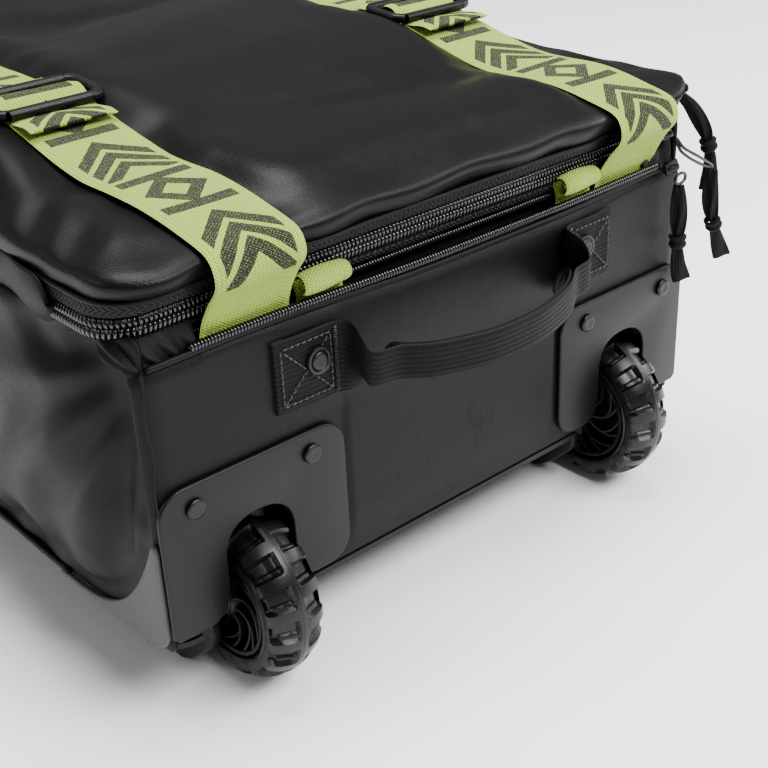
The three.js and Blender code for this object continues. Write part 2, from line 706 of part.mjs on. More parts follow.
function buildStraps() {
  const half = STRAP_WIDTH / 2;
  for (const [name, side] of Object.entries(SIDES)) {
    const centre = STRAP_CENTRES[name];
    const run = extrude("x", band(strapPath(), WEBBING), centre - half, centre + half);
    add(`cargo_strap_${name}`, union(run, ...rolledTail(side, centre)), "lime");

    const low = crown(BUCKLE_Y + 17) + 3.8;
    const frame = roundedRect(centre - 30, BUCKLE_Y - 17, centre + 30, BUCKLE_Y + 17, 6);
    const slot = (y) => extrude("z", roundedRect(centre - 25, y - 4, centre + 25, y + 4, 2),
      low - 1, low + 6);
    add(`tri_glide_${name}`, cut(extrude("z", frame, low, low + 4), slot(BUCKLE_Y - 8.5),
      slot(BUCKLE_Y + 8.5)), "plastic");
  }
}

// ---------------------------------------------------------------- grab handles
// Every handle is drawn lying along X and standing out along -Y from a wall at y = 0, then
// placed. The sewn ends are full-width webbing; the grip is folded to half its width.
const TAB_HEIGHT = 36;
const GRIP_HEIGHT = 19;
const STUB_OUT = 11;              // how far the front handle's sewn ends stand out
const SIDE_STUB_OUT = 9;
const SIDE_HANDLE_X = 191.6;
const SIDE_HANDLE_Y = 40;
const SIDE_HANDLE_Z = 120;

function handleStub(side, tabX, stubX) {
  const path = curve([[tabX, -2.1], [(tabX + stubX) / 2, -3.4], [stubX, -STUB_OUT]], 6);
  const outline = band(path.map(([x, y]) => [side * x, y]), 2.4);
  return extrude("z", outline, -TAB_HEIGHT / 2, TAB_HEIGHT / 2);
}

function handleLoop(stubX, reach) {
  const start = stubX - 3;
  const path = curve([[-start, -STUB_OUT - 1], [-start * 0.72, -STUB_OUT - reach * 0.62],
    [-start * 0.3, -STUB_OUT - reach + 2.5], [0, -STUB_OUT - reach + 2],
    [start * 0.3, -STUB_OUT - reach + 2.5], [start * 0.72, -STUB_OUT - reach * 0.62],
    [start, -STUB_OUT - 1]], 28);
  return extrude("z", band(path, 3.6), -GRIP_HEIGHT / 2, GRIP_HEIGHT / 2);
}

function place(geometry, angle, x, y, z) {
  return geometry.rotateZ(angle).translate(x, y, z);
}

function buildHandles() {
  const tabOuter = 113;
  const tabInner = 79;
  const stub = 66;
  for (const [name, side] of Object.entries(SIDES)) {
    const [x0, x1] = sideX(side, tabInner - 1, tabOuter);
    const half = TAB_HEIGHT / 2;
    const tab = union(block(x0, x1, -2.8, -0.4, -half, half), handleStub(side, tabInner, stub));
    const placed = place(tab, 0, 0, FRONT_Y, HANDLE_Z);
    add(`front_handle_tab_${name}`,
      cut(placed, rivetHole(side * HANDLE_RIVET_X, HANDLE_Z + 3)), "webbing");
    add(`handle_rivet_${name}`,
      rivet(FRONT_Y - 3.1, FRONT_Y + SHEET - 0.5, side * HANDLE_RIVET_X, HANDLE_Z + 3), "steel");
  }
  add("front_grab_handle", place(handleLoop(stub, 34), 0, 0, FRONT_Y, HANDLE_Z), "webbing");

  const half = TAB_HEIGHT / 2;
  const walls = [
    ["left", -Math.PI / 2, -SIDE_HANDLE_X],
    ["right", Math.PI / 2, SIDE_HANDLE_X],
  ];
  for (const [name, angle, x] of walls) {
    const strip = union(block(-112, 112, -2.8, -0.4, -half, half),
      shortStub(-1), shortStub(1));
    add(`${name}_handle_strip`, place(strip, angle, x, SIDE_HANDLE_Y, SIDE_HANDLE_Z),
      "webbing");
    add(`${name}_grab_handle`, place(flatLoop(), angle, x, SIDE_HANDLE_Y, SIDE_HANDLE_Z),
      "webbing");
  }
}

// The side handles lie flatter than the front one, on one long strip each.
function shortStub(side) {
  const path = curve([[80, -2.1], [70, -4], [62, -SIDE_STUB_OUT]], 4);
  return extrude("z", band(path.map(([x, y]) => [side * x, y]), 2.4), -TAB_HEIGHT / 2,
    TAB_HEIGHT / 2);
}

function flatLoop() {
  const start = SIDE_STUB_OUT + 1;
  const path = curve([[-60, -start], [-40, -start - 2.6], [-15, -start - 3.8],
    [15, -start - 3.8], [40, -start - 2.6], [60, -start]], 20);
  return extrude("z", band(path, 3), -GRIP_HEIGHT / 2, GRIP_HEIGHT / 2);
}

// ---------------------------------------------------------------- pull handle
function tube(x, width, height, y0, y1, wall) {
  const outer = roundedRect(x - width / 2, TUBE_Z - height / 2, x + width / 2,
    TUBE_Z + height / 2, 4);
  if (!wall) {
    return extrude("y", outer, y0, y1, 4);
  }
  const inner = roundedRect(x - width / 2 + wall, TUBE_Z - height / 2 + wall,
    x + width / 2 - wall, TUBE_Z + height / 2 - wall, 2.5);
  return cut(extrude("y", outer, y0, y1, 4), extrude("y", inner, y0 - 1, y1 + 1, 4));
}

function buildPullHandle() {
  const bezelFront = REAR_Y - 14;
  const bezelFace = REAR_Y + 2;
  const recess = REAR_Y - 9;
  const gripFace = REAR_Y + 6;
  const tubeStart = FRONT_Y + 88;
  for (const [name, side] of Object.entries(SIDES)) {
    add(`trolley_outer_tube_${name}`,
      tube(side * TUBE_X, ...TUBE_OUTER, tubeStart, bezelFront - GAP, TUBE_WALL), "aluminium");
    add(`trolley_inner_tube_${name}`,
      tube(side * TUBE_X, ...TUBE_INNER, tubeStart + 18, recess + GAP, 0), "aluminium");
  }
  const holes = Object.values(SIDES).map((side) =>
    tube(side * TUBE_X, TUBE_INNER[0] + 1, TUBE_INNER[1] + 1, bezelFront - 5, recess + 5, 0));
  const bezel = extrude("y", roundedRect(-92, TRAY_Z + 4, 92, 78, 8), bezelFront, bezelFace);
  const pocket = extrude("y", roundedRect(-84, 43, 84, 69, 7), recess, bezelFace + 5);
  add("trolley_bezel", cut(bezel, pocket, ...holes), "plastic");

  const grip = extrude("y", roundedRect(-82, 45, 82, 67, 6), recess + 2 * GAP, gripFace);
  const seat = block(-16, 16, gripFace - 5, gripFace + 5, 50, 62);
  add("trolley_grip", cut(grip, seat), "plastic");
  add("trolley_button", block(-15.5, 15.5, gripFace - 2, gripFace + 1.2, 50.5, 61.5), "plastic");
}

// ---------------------------------------------------------------- zip sliders and pulls
const SIDE_SLIDER_Y = FRONT_Y + 14;
const STRAP_SLIDER_X = 164;

// A round section swept along a route.
function sweep(points, radius, steps, sides) {
  const path = new THREE.CatmullRomCurve3(points.map((p) => new THREE.Vector3(...p)));
  const section = new THREE.Shape();
  for (let i = 0; i < sides; i++) {
    const angle = (i / sides) * Math.PI * 2;
    const corner = [radius * Math.cos(angle), radius * Math.sin(angle)];
    if (i === 0) {
      section.moveTo(...corner);
    } else {
      section.lineTo(...corner);
    }
  }
  return new THREE.ExtrudeGeometry(section, { steps, extrudePath: path, bevelEnabled: false });
}

// Routes of the three webbing pulls, from the slider or wire down to the free end.
const PULL_ROUTES = {
  side_pull_ribbon: [
    [191.6, -241, 214], [196, -245, 208], [201, -248, 199], [206, -250, 189],
    [209, -251, 178], [209.5, -251.5, 167], [207, -252, 157],
  ],
  front_pull_ribbon: [
    [204.5, -257, 171], [203.6, -257, 163], [204.2, -257, 152], [207.4, -256.5, 142],
    [212, -256, 133], [217, -255.5, 123], [222, -255.5, 113],
  ],
  strap_pull_ribbon: [
    [165, -263, 173.6], [165.2, -263.5, 165], [165.8, -263.5, 155], [166.2, -263.5, 145],
    [166.8, -263.5, 135], [168.4, -263.5, 125], [171.5, -264, 116],
  ],
};
const RIBBON_RADIUS = 2.2;
const WIRE_RADIUS = 1;

// A bent wire through the given points.
function bentWire(points) {
  return sweep(points, WIRE_RADIUS, 16, 6);
}

function buildSliders() {
  const out = ZIP_HALF_X + GAP;
  const sideZ = ZIP_Z + ZIP_RIGHT_RISE;
  add("side_slider", extrude("y", roundedRect(out, sideZ + 0.4, out + 6, sideZ + 6.3, 2),
    SIDE_SLIDER_Y - 7, SIDE_SLIDER_Y + 7), "steel");
  add("front_slider", extrude("x", roundedRect(FRONT_Y + 2.4, ZIP_Z + 0.8, FRONT_Y + 8.6,
    ZIP_Z + 6.4, 1.5), 160.8, 171), "steel");
  add("strap_slider", extrude("x", roundedRect(FRONT_Y - 6.6, PANEL_TOP_Z - 3.5,
    FRONT_Y - 1 - GAP, PANEL_TOP_Z + 3.6, 2), STRAP_SLIDER_X - 9, STRAP_SLIDER_X + 3), "steel");

  add("front_pull_wire", bentWire([[173, -251.7, 196.5], [178, -252.6, 193], [186, -254, 187],
    [194, -256, 180.5], [200, -257, 175.5], [203.4, -257, 173.2]]), "steel");
  add("strap_pull_wire", bentWire([[160.6, -262.8, 179.6], [160.6, -264, 178], [162.4, -264, 176.2],
    [165, -264, 175.8], [167.6, -264, 176.2], [169.4, -264, 178], [169.4, -262.8, 179.6]]),
  "steel");
  for (const [name, route] of Object.entries(PULL_ROUTES)) {
    add(name, sweep(route, RIBBON_RADIUS, 12, 8), "webbing");
  }
}

buildWheelEnd();
buildShell();
buildWheels();
buildZips();
buildLid();
buildStraps();
buildHandles();
buildPullHandle();
buildSliders();

export default bag;
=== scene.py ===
"""The looks of a rolling duffel bag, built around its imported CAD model.

Lengths in the building code are millimetres in the CAD frame, and MM turns them into metres.
"""
import json
import math

import bpy
import numpy as np
from mathutils import Matrix, Vector
from mathutils.bvhtree import BVHTree


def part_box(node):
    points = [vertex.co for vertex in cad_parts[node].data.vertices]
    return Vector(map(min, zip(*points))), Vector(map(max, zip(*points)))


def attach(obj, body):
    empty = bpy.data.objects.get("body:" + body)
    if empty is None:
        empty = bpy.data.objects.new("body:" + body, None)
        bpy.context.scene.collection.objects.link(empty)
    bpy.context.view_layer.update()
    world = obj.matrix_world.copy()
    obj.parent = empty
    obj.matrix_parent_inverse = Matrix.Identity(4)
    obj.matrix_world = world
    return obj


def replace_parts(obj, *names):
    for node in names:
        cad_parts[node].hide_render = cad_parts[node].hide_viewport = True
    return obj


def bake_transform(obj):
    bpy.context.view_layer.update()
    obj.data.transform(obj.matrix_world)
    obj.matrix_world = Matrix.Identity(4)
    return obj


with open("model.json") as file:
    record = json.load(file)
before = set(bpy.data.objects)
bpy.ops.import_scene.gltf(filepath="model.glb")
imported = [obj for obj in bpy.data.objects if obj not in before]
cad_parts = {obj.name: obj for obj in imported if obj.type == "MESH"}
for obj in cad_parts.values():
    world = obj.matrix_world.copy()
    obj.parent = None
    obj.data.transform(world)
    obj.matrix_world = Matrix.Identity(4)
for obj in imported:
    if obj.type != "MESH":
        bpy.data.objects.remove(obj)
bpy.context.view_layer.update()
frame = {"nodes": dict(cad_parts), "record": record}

MM = 0.001


def cad_box(node):
    """Lowest and highest corner of a CAD node, in millimetres."""
    low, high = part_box(node)
    return np.array(low) / MM, np.array(high) / MM


# ------------------------------------------------------------------ places from the frame
PANEL_LOW, PANEL_HIGH = cad_box("wheel_end_panel")
REAR_LOW, REAR_HIGH = cad_box("rear_panel")
LID_LOW, LID_HIGH = cad_box("lid_shell")
ZIP_LOW, ZIP_HIGH = cad_box("main_zip_lower")
PLATE_LOW, PLATE_HIGH = cad_box("kick_plate_right")
TYRE_LOW, TYRE_HIGH = cad_box("tyre_right")
RIM_LOW, RIM_HIGH = cad_box("rim_right")
FRONT_Y = PANEL_LOW[1]
REAR_Y = REAR_HIGH[1]
PANEL_BOTTOM_Z = PANEL_LOW[2]
PANEL_TOP_Z = PANEL_HIGH[2]
ZIP_HALF_X = ZIP_HIGH[0]
ZIP_FRONT_Y = ZIP_LOW[1]
ZIP_Z = ZIP_LOW[2]
LID_Z = LID_LOW[2]
WHEEL_RADIUS = (TYRE_HIGH[2] - TYRE_LOW[2]) / 2
WHEEL_HALF_WIDTH = (TYRE_HIGH[0] - TYRE_LOW[0]) / 2
WHEEL_X = (TYRE_HIGH[0] + TYRE_LOW[0]) / 2
WHEEL_Y = (TYRE_HIGH[1] + TYRE_LOW[1]) / 2
WHEEL_Z = (TYRE_HIGH[2] + TYRE_LOW[2]) / 2
RIM_RADIUS = (RIM_HIGH[2] - RIM_LOW[2]) / 2
SIDES = {"left": -1, "right": 1}
STRAP_CENTRES = {
    name: (cad_box(f"tri_glide_{name}")[0][0] + cad_box(f"tri_glide_{name}")[1][0]) / 2
    for name in SIDES
}
STRAP_WIDTH = 48
STRAP_THICKNESS = 1.7
ZIP_CORNER = 18
ZIP_RIGHT_RISE = 20
ZIP_RISE_X = ZIP_HALF_X - ZIP_CORNER
ZIP_END_Y = 60


def zip_rise(x):
    """How much higher the zip runs at x than at the wheel end."""
    return ZIP_RIGHT_RISE * np.clip((x - ZIP_RISE_X) / (ZIP_HALF_X - ZIP_RISE_X), 0, 1)


def smoothstep(x, low, high):
    t = np.clip((x - low) / (high - low), 0, 1)
    return t * t * (3 - 2 * t)


# ------------------------------------------------------------------ camera
def make_camera():
    azimuth, elevation, roll = math.radians(-40.48), math.radians(27.86), math.radians(-2.72)
    back = Vector((math.sin(azimuth) * math.cos(elevation),
                   -math.cos(azimuth) * math.cos(elevation), math.sin(elevation)))
    level_x = Vector((0, 0, 1)).cross(back).normalized()
    level_y = back.cross(level_x)
    x = level_x * math.cos(roll) + level_y * math.sin(roll)
    y = level_y * math.cos(roll) - level_x * math.sin(roll)
    data = bpy.data.cameras.new("camera")
    data.lens = 62.4
    data.sensor_width = 36
    data.clip_start = 0.01
    camera = bpy.data.objects.new("camera", data)
    camera.matrix_world = Matrix((
        (x[0], y[0], back[0], -0.4129),
        (x[1], y[1], back[1], -0.6827),
        (x[2], y[2], back[2], 0.4259),
        (0, 0, 0, 1),
    ))
    bpy.context.scene.collection.objects.link(camera)
    bpy.context.scene.camera = camera


# ------------------------------------------------------------------ mesh helpers
def make(name, points, faces, material, uv=None, smooth=True):
    """A mesh object from points in millimetres. uv is one pair for each point, in metres."""
    mesh = bpy.data.meshes.new(name)
    mesh.from_pydata((np.asarray(points, float) * MM).tolist(), [], [list(f) for f in faces])
    if uv is not None:
        layer = mesh.uv_layers.new(name="UVMap")
        loops = np.zeros(len(mesh.loops), np.int32)
        mesh.loops.foreach_get("vertex_index", loops)
        layer.data.foreach_set("uv", np.asarray(uv, np.float32)[loops].ravel())
    mesh.polygons.foreach_set("use_smooth", [smooth] * len(mesh.polygons))
    obj = bpy.data.objects.new(name, mesh)
    bpy.context.scene.collection.objects.link(obj)
    if material is not None:
        mesh.materials.append(material)
    return obj


def settle(piece, body, node=None):
    """The piece rides on a body and may stand in for a CAD node."""
    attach(piece, body)
    if node is not None:
        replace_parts(piece, node)
    return piece


def grid_faces(rows, columns, wrap=False, start=0, flip=False):
    faces = []
    for r in range(rows - 1):
        for c in range(columns if wrap else columns - 1):
            a = start + r * columns + c
            b = start + r * columns + (c + 1) % columns
            face = (a, b, b + columns, a + columns)
            faces.append(face[::-1] if flip else face)
    return faces


def rim_faces(rows, columns, offset, flip=False):
    """Faces between the borders of two grids of one size, the second's points offset further."""
    border = [(0, c) for c in range(columns)] + [(r, columns - 1) for r in range(1, rows)]
    border += [(rows - 1, c) for c in range(columns - 2, -1, -1)]
    border += [(r, 0) for r in range(rows - 2, 0, -1)]
    ids = [r * columns + c for r, c in border]
    pairs = zip(ids, ids[1:] + ids[:1])
    if flip:
        return [(a, b, b + offset, a + offset) for a, b in pairs]
    return [(a, a + offset, b + offset, b) for a, b in pairs]


def band_faces(rows, steps):
    """Faces of a flat band with two sides of that many steps, and its two ends closed."""
    count = 2 * (steps + 1)
    faces = grid_faces(rows, count, wrap=True, flip=True)
    for r in (0, rows - 1):
        for c in range(steps):
            near, far = r * count + c, r * count + count - 1 - c
            face = (near, near + 1, far - 1, far)
            faces.append(face if r == 0 else face[::-1])
    return faces


def oval(across, up, count):
    """An oval's outline as that many points."""
    return [(across * math.cos(a), up * math.sin(a))
            for a in np.linspace(0, 2 * math.pi, count + 1)[:-1]]


def box_outline(x0, y0, x1, y1):
    return [(x0, y0), (x1, y0), (x1, y1), (x0, y1)]


class Build:
    """Gathers points, faces and UVs for one mesh made of several pieces."""

    def __init__(self):
        self.points, self.faces, self.uv = [], [], []

    def add(self, points, faces, uv=None):
        start = sum(len(p) for p in self.points)
        self.points.append(np.asarray(points, float))
        self.faces += [tuple(i + start for i in f) for f in faces]
        self.uv.append(np.zeros((len(points), 2)) if uv is None else np.asarray(uv, float))

    def done(self, name, material, smooth=True):
        return make(name, np.vstack(self.points), self.faces, material, np.vstack(self.uv),
                    smooth)


def shade(obj, degrees=40):
    """Smooth shading with sharp edges above an angle."""
    obj.data.set_sharp_from_angle(angle=math.radians(degrees))
    return obj


def subdivide(obj, levels=1):
    modifier = obj.modifiers.new("smooth", "SUBSURF")
    modifier.levels = levels
    modifier.render_levels = levels
    return obj


def unit(v):
    v = np.asarray(v, float)
    return v / np.maximum(np.linalg.norm(v, axis=-1, keepdims=True), 1e-12)


def resample(points, count):
    """Even steps along a smooth curve through the points."""
    p = np.asarray(points, float)
    fine = [p[0]]
    for i in range(len(p) - 1):
        before = p[max(i - 1, 0)]
        after = p[min(i + 2, len(p) - 1)]
        for t in np.linspace(0, 1, 13)[1:]:
            m0 = (p[i + 1] - before) / 2
            m1 = (after - p[i]) / 2
            fine.append((2 * t**3 - 3 * t**2 + 1) * p[i] + (t**3 - 2 * t**2 + t) * m0
                        + (3 * t**2 - 2 * t**3) * p[i + 1] + (t**3 - t**2) * m1)
    fine = np.array(fine)
    run = lengths(fine)
    return at_lengths(fine, run, np.linspace(0, run[-1], count))


def at_lengths(values, run, at):
    """Rows given at the running lengths run, read off at other lengths."""
    return np.stack([np.interp(at, run, column) for column in np.transpose(values)], -1)


def lengths(path):
    """How far along the path each of its points lies."""
    return np.concatenate([[0], np.cumsum(np.linalg.norm(np.diff(path, axis=0), axis=1))])


def frames(path, side):
    """Tangent, side and normal directions along a path; side is a wished direction."""
    tangent = unit(np.gradient(path, axis=0))
    side = np.broadcast_to(np.asarray(side, float), path.shape)
    side = unit(side - (side * tangent).sum(1, keepdims=True) * tangent)
    return tangent, side, np.cross(tangent, side)


def swept(build, path, side, section, caps=True, scale=None):
    """A closed section pushed along a path. Section points are (along side, along normal)."""
    path = np.asarray(path, float)
    section = np.asarray(section, float)
    _, across, normal = frames(path, side)
    size = np.ones((len(path), 2)) if scale is None else np.asarray(scale, float)
    rings = (path[:, None] + across[:, None] * section[None, :, :1] * size[:, None, :1]
             + normal[:, None] * section[None, :, 1:] * size[:, None, 1:])
    count = len(section)
    along = lengths(path)
    uv = np.stack(np.broadcast_arrays(along[:, None], lengths(section)[None, :]), 2) * MM
    faces = grid_faces(len(path), count, wrap=True, flip=True)
    if caps:
        faces.append(tuple(range(count)))
        faces.append(tuple((len(path) - 1) * count + i for i in reversed(range(count))))
    build.add(rings.reshape(-1, 3), faces, uv.reshape(-1, 2))


def webbing(build, path, side, width, thickness, wave=None):
    """Flat webbing along a path, with UVs u along it and v across it from its middle."""
    path = np.asarray(path, float)
    _, across, normal = frames(path, side)
    width = np.broadcast_to(np.asarray(width, float), len(path))
    steps = 12
    v = np.linspace(-0.5, 0.5, steps + 1)
    crown = thickness / 2 * np.sqrt(np.clip(1 - (np.abs(v) * 2) ** 16, 0, 1))
    lift = np.zeros((len(path), steps + 1)) if wave is None else wave(lengths(path), v)
    rows = []
    for sign in (1, -1):
        order = slice(None) if sign > 0 else slice(None, None, -1)
        offset = (lift + sign * crown)[:, order]
        reach = (v[order][None, :] * width[:, None])[..., None]
        rows.append(path[:, None] + across[:, None] * reach + normal[:, None] * offset[..., None])
    rings = np.concatenate(rows, 1)
    count = rings.shape[1]
    around = np.concatenate([v, v[::-1]])
    uv = np.stack([np.broadcast_to(lengths(path)[:, None], (len(path), count)),
                   around[None] * width[:, None]], 2) * MM
    build.add(rings.reshape(-1, 3), band_faces(len(path), steps), uv.reshape(-1, 2))


def slab(build, outline, low, high, axis, bevel=1.0, steps=3):
    """A plate with rounded edges: a closed outline between two levels along an axis.

    The outline's coordinates are (x, z) for axis y, (y, z) for axis x and (x, y) for axis z.
    """
    p = np.asarray(outline, float)
    area = 0.5 * np.sum(p[:, 0] * np.roll(p[:, 1], -1) - np.roll(p[:, 0], -1) * p[:, 1])
    if area < 0:
        p = p[::-1]
    edge = unit(np.roll(p, -1, 0) - np.roll(p, 1, 0))
    inward = np.stack([-edge[:, 1], edge[:, 0]], 1)
    rings = []
    for end, sign in ((low, 1), (high, -1)):
        angles = np.linspace(0, math.pi / 2, steps + 1)
        for angle in angles if sign > 0 else angles[::-1]:
            inset = bevel * (1 - math.sin(angle))
            level = end + sign * bevel * (1 - math.cos(angle))
            rings.append((p + inward * inset, level))
    place = {"x": (2, 0, 1), "y": (0, 2, 1), "z": (0, 1, 2)}[axis]
    points = []
    for ring, level in rings:
        stacked = np.column_stack([ring, np.full(len(ring), level)])
        points.append(stacked[:, list(place)])
    flip = axis == "y"
    count = len(p)
    faces = grid_faces(len(rings), count, wrap=True, flip=flip)
    bottom = tuple(range(count))
    top = tuple((len(rings) - 1) * count + i for i in range(count))
    faces += [bottom if flip else bottom[::-1], top[::-1] if flip else top]
    uv = np.vstack([r for r, _ in rings]) * MM
    build.add(np.vstack(points), faces, uv)


def rounded_outline(x0, y0, x1, y1, radius, steps=8):
    points = []
    for cx, cy, start in ((x1 - radius, y0 + radius, -90), (x1 - radius, y1 - radius, 0),
                          (x0 + radius, y1 - radius, 90), (x0 + radius, y0 + radius, 180)):
        for angle in np.radians(np.linspace(start, start + 90, steps + 1)):
            points.append((cx + radius * math.cos(angle), cy + radius * math.sin(angle)))
    return points


def lathe(build, profile, axis, centre, segments=32):
    """A turned piece. Profile points are (along the axis, radius)."""
    profile = np.asarray(profile, float)
    angle = np.linspace(0, 2 * math.pi, segments, endpoint=False)
    along = np.repeat(profile[:, 0], segments)
    radius = np.repeat(profile[:, 1], segments)
    a = np.tile(angle, len(profile))
    first, second = radius * np.cos(a), radius * np.sin(a)
    order = {"x": (0, 1, 2), "y": (2, 0, 1), "z": (1, 2, 0)}[axis]
    points = np.column_stack([along, first, second])[:, list(order)] + np.asarray(centre, float)
    uv = np.column_stack([a * radius.mean(), lengths(profile).repeat(segments)]) * MM
    build.add(points, grid_faces(len(profile), segments, wrap=True, flip=True), uv)


# ------------------------------------------------------------------ materials
class Paint:
    """A Principled material with short calls for its texture nodes."""

    def __init__(self, name, specular=0.5, **constants):
        self.material = bpy.data.materials.new(name)
        self.material.use_nodes = True
        self.tree = self.material.node_tree
        self.shader = self.tree.nodes["Principled BSDF"]
        self.coordinates = self.tree.nodes.new("ShaderNodeTexCoord")
        self.shader.inputs["Specular IOR Level"].default_value = specular
        for socket, value in constants.items():
            self.shader.inputs[socket.replace("_", " ").title()].default_value = value

    def link(self, value, socket):
        if isinstance(value, bpy.types.NodeSocket):
            self.tree.links.new(value, socket)
        else:
            socket.default_value = value

    def math(self, operation, a, b=0.0, c=0.0):
        node = self.tree.nodes.new("ShaderNodeMath")
        node.operation = operation
        for value, socket in zip((a, b, c), node.inputs):
            self.link(value, socket)
        return node.outputs[0]

    def times(self, a, b):
        return self.math("MULTIPLY", a, b)

    def plus(self, a, b):
        return self.math("ADD", a, b)

    def times_plus(self, a, b, c):
        return self.math("MULTIPLY_ADD", a, b, c)

    def uv(self):
        node = self.tree.nodes.new("ShaderNodeSeparateXYZ")
        self.tree.links.new(self.coordinates.outputs["UV"], node.inputs[0])
        return node.outputs[0], node.outputs[1]

    def xyz(self):
        node = self.tree.nodes.new("ShaderNodeSeparateXYZ")
        self.tree.links.new(self.coordinates.outputs["Object"], node.inputs[0])
        return node.outputs[0], node.outputs[1], node.outputs[2]

    def noise(self, scale, detail=3.0, rough=0.55, where=None, stretch=None):
        node = self.tree.nodes.new("ShaderNodeTexNoise")
        where = self.coordinates.outputs["Object"] if where is None else where
        if stretch is not None:
            mapping = self.tree.nodes.new("ShaderNodeMapping")
            mapping.inputs["Scale"].default_value = stretch
            self.tree.links.new(where, mapping.inputs["Vector"])
            where = mapping.outputs[0]
        self.tree.links.new(where, node.inputs["Vector"])
        node.inputs["Scale"].default_value = scale
        node.inputs["Detail"].default_value = detail
        node.inputs["Roughness"].default_value = rough
        return node.outputs["Fac"]

    def cells(self, scale, feature="F1", where=None):
        node = self.tree.nodes.new("ShaderNodeTexVoronoi")
        node.feature = feature
        where = self.coordinates.outputs["Object"] if where is None else where
        self.tree.links.new(where, node.inputs["Vector"])
        node.inputs["Scale"].default_value = scale
        return node.outputs["Distance"]

    def wave(self, value, period):
        """A sine from 0 to 1 with that period, in metres."""
        sine = self.math("SINE", self.times(value, 2 * math.pi / period))
        return self.times_plus(sine, 0.5, 0.5)

    def between(self, value, low, high, out_low=0.0, out_high=1.0):
        node = self.tree.nodes.new("ShaderNodeMapRange")
        node.interpolation_type = "SMOOTHSTEP"
        self.link(value, node.inputs["Value"])
        for socket, number in (("From Min", low), ("From Max", high), ("To Min", out_low),
                               ("To Max", out_high)):
            node.inputs[socket].default_value = number
        return node.outputs["Result"]

    def mix(self, factor, a, b):
        node = self.tree.nodes.new("ShaderNodeMix")
        node.data_type = "RGBA"
        self.link(factor, node.inputs[0])
        for value, socket in ((a, node.inputs[6]), (b, node.inputs[7])):
            self.link(value, socket)
        return node.outputs[2]

    def bump(self, height, depth, below=None):
        """Relief of that depth in metres, on top of an earlier bump."""
        node = self.tree.nodes.new("ShaderNodeBump")
        node.inputs["Strength"].default_value = 1.0
        node.inputs["Distance"].default_value = depth
        self.link(height, node.inputs["Height"])
        if below is not None:
            self.tree.links.new(below, node.inputs["Normal"])
        return node.outputs[0]

    def colour(self, value):
        self.link(value, self.shader.inputs["Base Color"])

    def rough(self, value):
        self.link(value, self.shader.inputs["Roughness"])

    def normal(self, value):
        self.link(value, self.shader.inputs["Normal"])


def srgb(r, g, b):
    """A screen colour from 0 to 255 as the linear colour that a shader takes."""
    return tuple(((c / 255 + 0.055) / 1.055) ** 2.4 if c > 10 else c / 3295
                 for c in (r, g, b)) + (1.0,)


def coated_fabric(name, dark, light, roughness, grain, specular=0.12):
    """Tightly woven cloth under a matte coating: fine grain, soft blotches and scuffs."""
    paint = Paint(name, specular=specular, sheen_weight=0.01, sheen_roughness=0.4)
    x, y, z = paint.xyz()
    threads = paint.times(paint.wave(paint.plus(x, y), grain),
                         paint.wave(paint.math("SUBTRACT", paint.plus(z, y), x), grain))
    blotch = paint.noise(9, 4)
    speckle = paint.noise(900, 2)
    scuff = paint.between(paint.noise(38, 6, 0.7), 0.56, 0.74)
    shade_of = paint.times_plus(blotch, 0.6, paint.times(speckle, 0.4))
    paint.colour(paint.mix(shade_of, dark, light))
    paint.rough(paint.times_plus(scuff, 0.1,
                           paint.times_plus(blotch, 0.14, roughness - 0.07)))
    fine = paint.bump(paint.plus(threads, speckle), 0.00006)
    paint.normal(paint.bump(paint.noise(60, 4), 0.0003, fine))
    return paint.material


def twill_fabric(name):
    """Soft black cloth with fine slanting ribs."""
    paint = Paint(name, specular=0.13, sheen_weight=0.01, sheen_roughness=0.4)
    u, v = paint.uv()
    rib = paint.wave(paint.plus(u, paint.times(v, 0.8)), 0.0011)
    pick = paint.wave(paint.math("SUBTRACT", u, v), 0.0007)
    blotch = paint.noise(14, 4)
    paint.colour(paint.mix(paint.times_plus(rib, 0.5, paint.times(blotch, 0.5)),
                           srgb(3, 3, 4), srgb(9, 9, 10)))
    paint.rough(paint.times_plus(blotch, 0.14, 0.32))
    fine = paint.bump(paint.times_plus(pick, 0.3, rib), 0.00012)
    paint.normal(paint.bump(paint.noise(45, 4), 0.0005, fine))
    return paint.material


def moulded(name, dark, light, roughness, pebble, depth, wear=0.0):
    """Moulded plastic with a pebbled skin, mould flow and light scuffs."""
    paint = Paint(name, specular=0.22)
    flow = paint.noise(22, 4)
    grit = paint.noise(1300, 2)
    scuff = paint.between(paint.noise(70, 7, 0.75), 0.6, 0.76)
    base = paint.mix(paint.times_plus(flow, 0.7, paint.times(grit, 0.3)),
                     dark, light)
    paint.colour(paint.mix(paint.times(scuff, wear), base,
                           tuple(min(c * 2.2, 1) for c in light[:3]) + (1.0,)))
    paint.rough(paint.times_plus(scuff, 0.12,
                           paint.times_plus(flow, 0.12, roughness - 0.06)))
    paint.normal(paint.bump(paint.plus(paint.cells(1 / pebble), grit), depth,
                            paint.bump(paint.noise(40, 3), 0.0002)))
    return paint.material


CHEVRON_HALF, BAR_HALF = 0.045, 0.036  # as shares of the figure's length


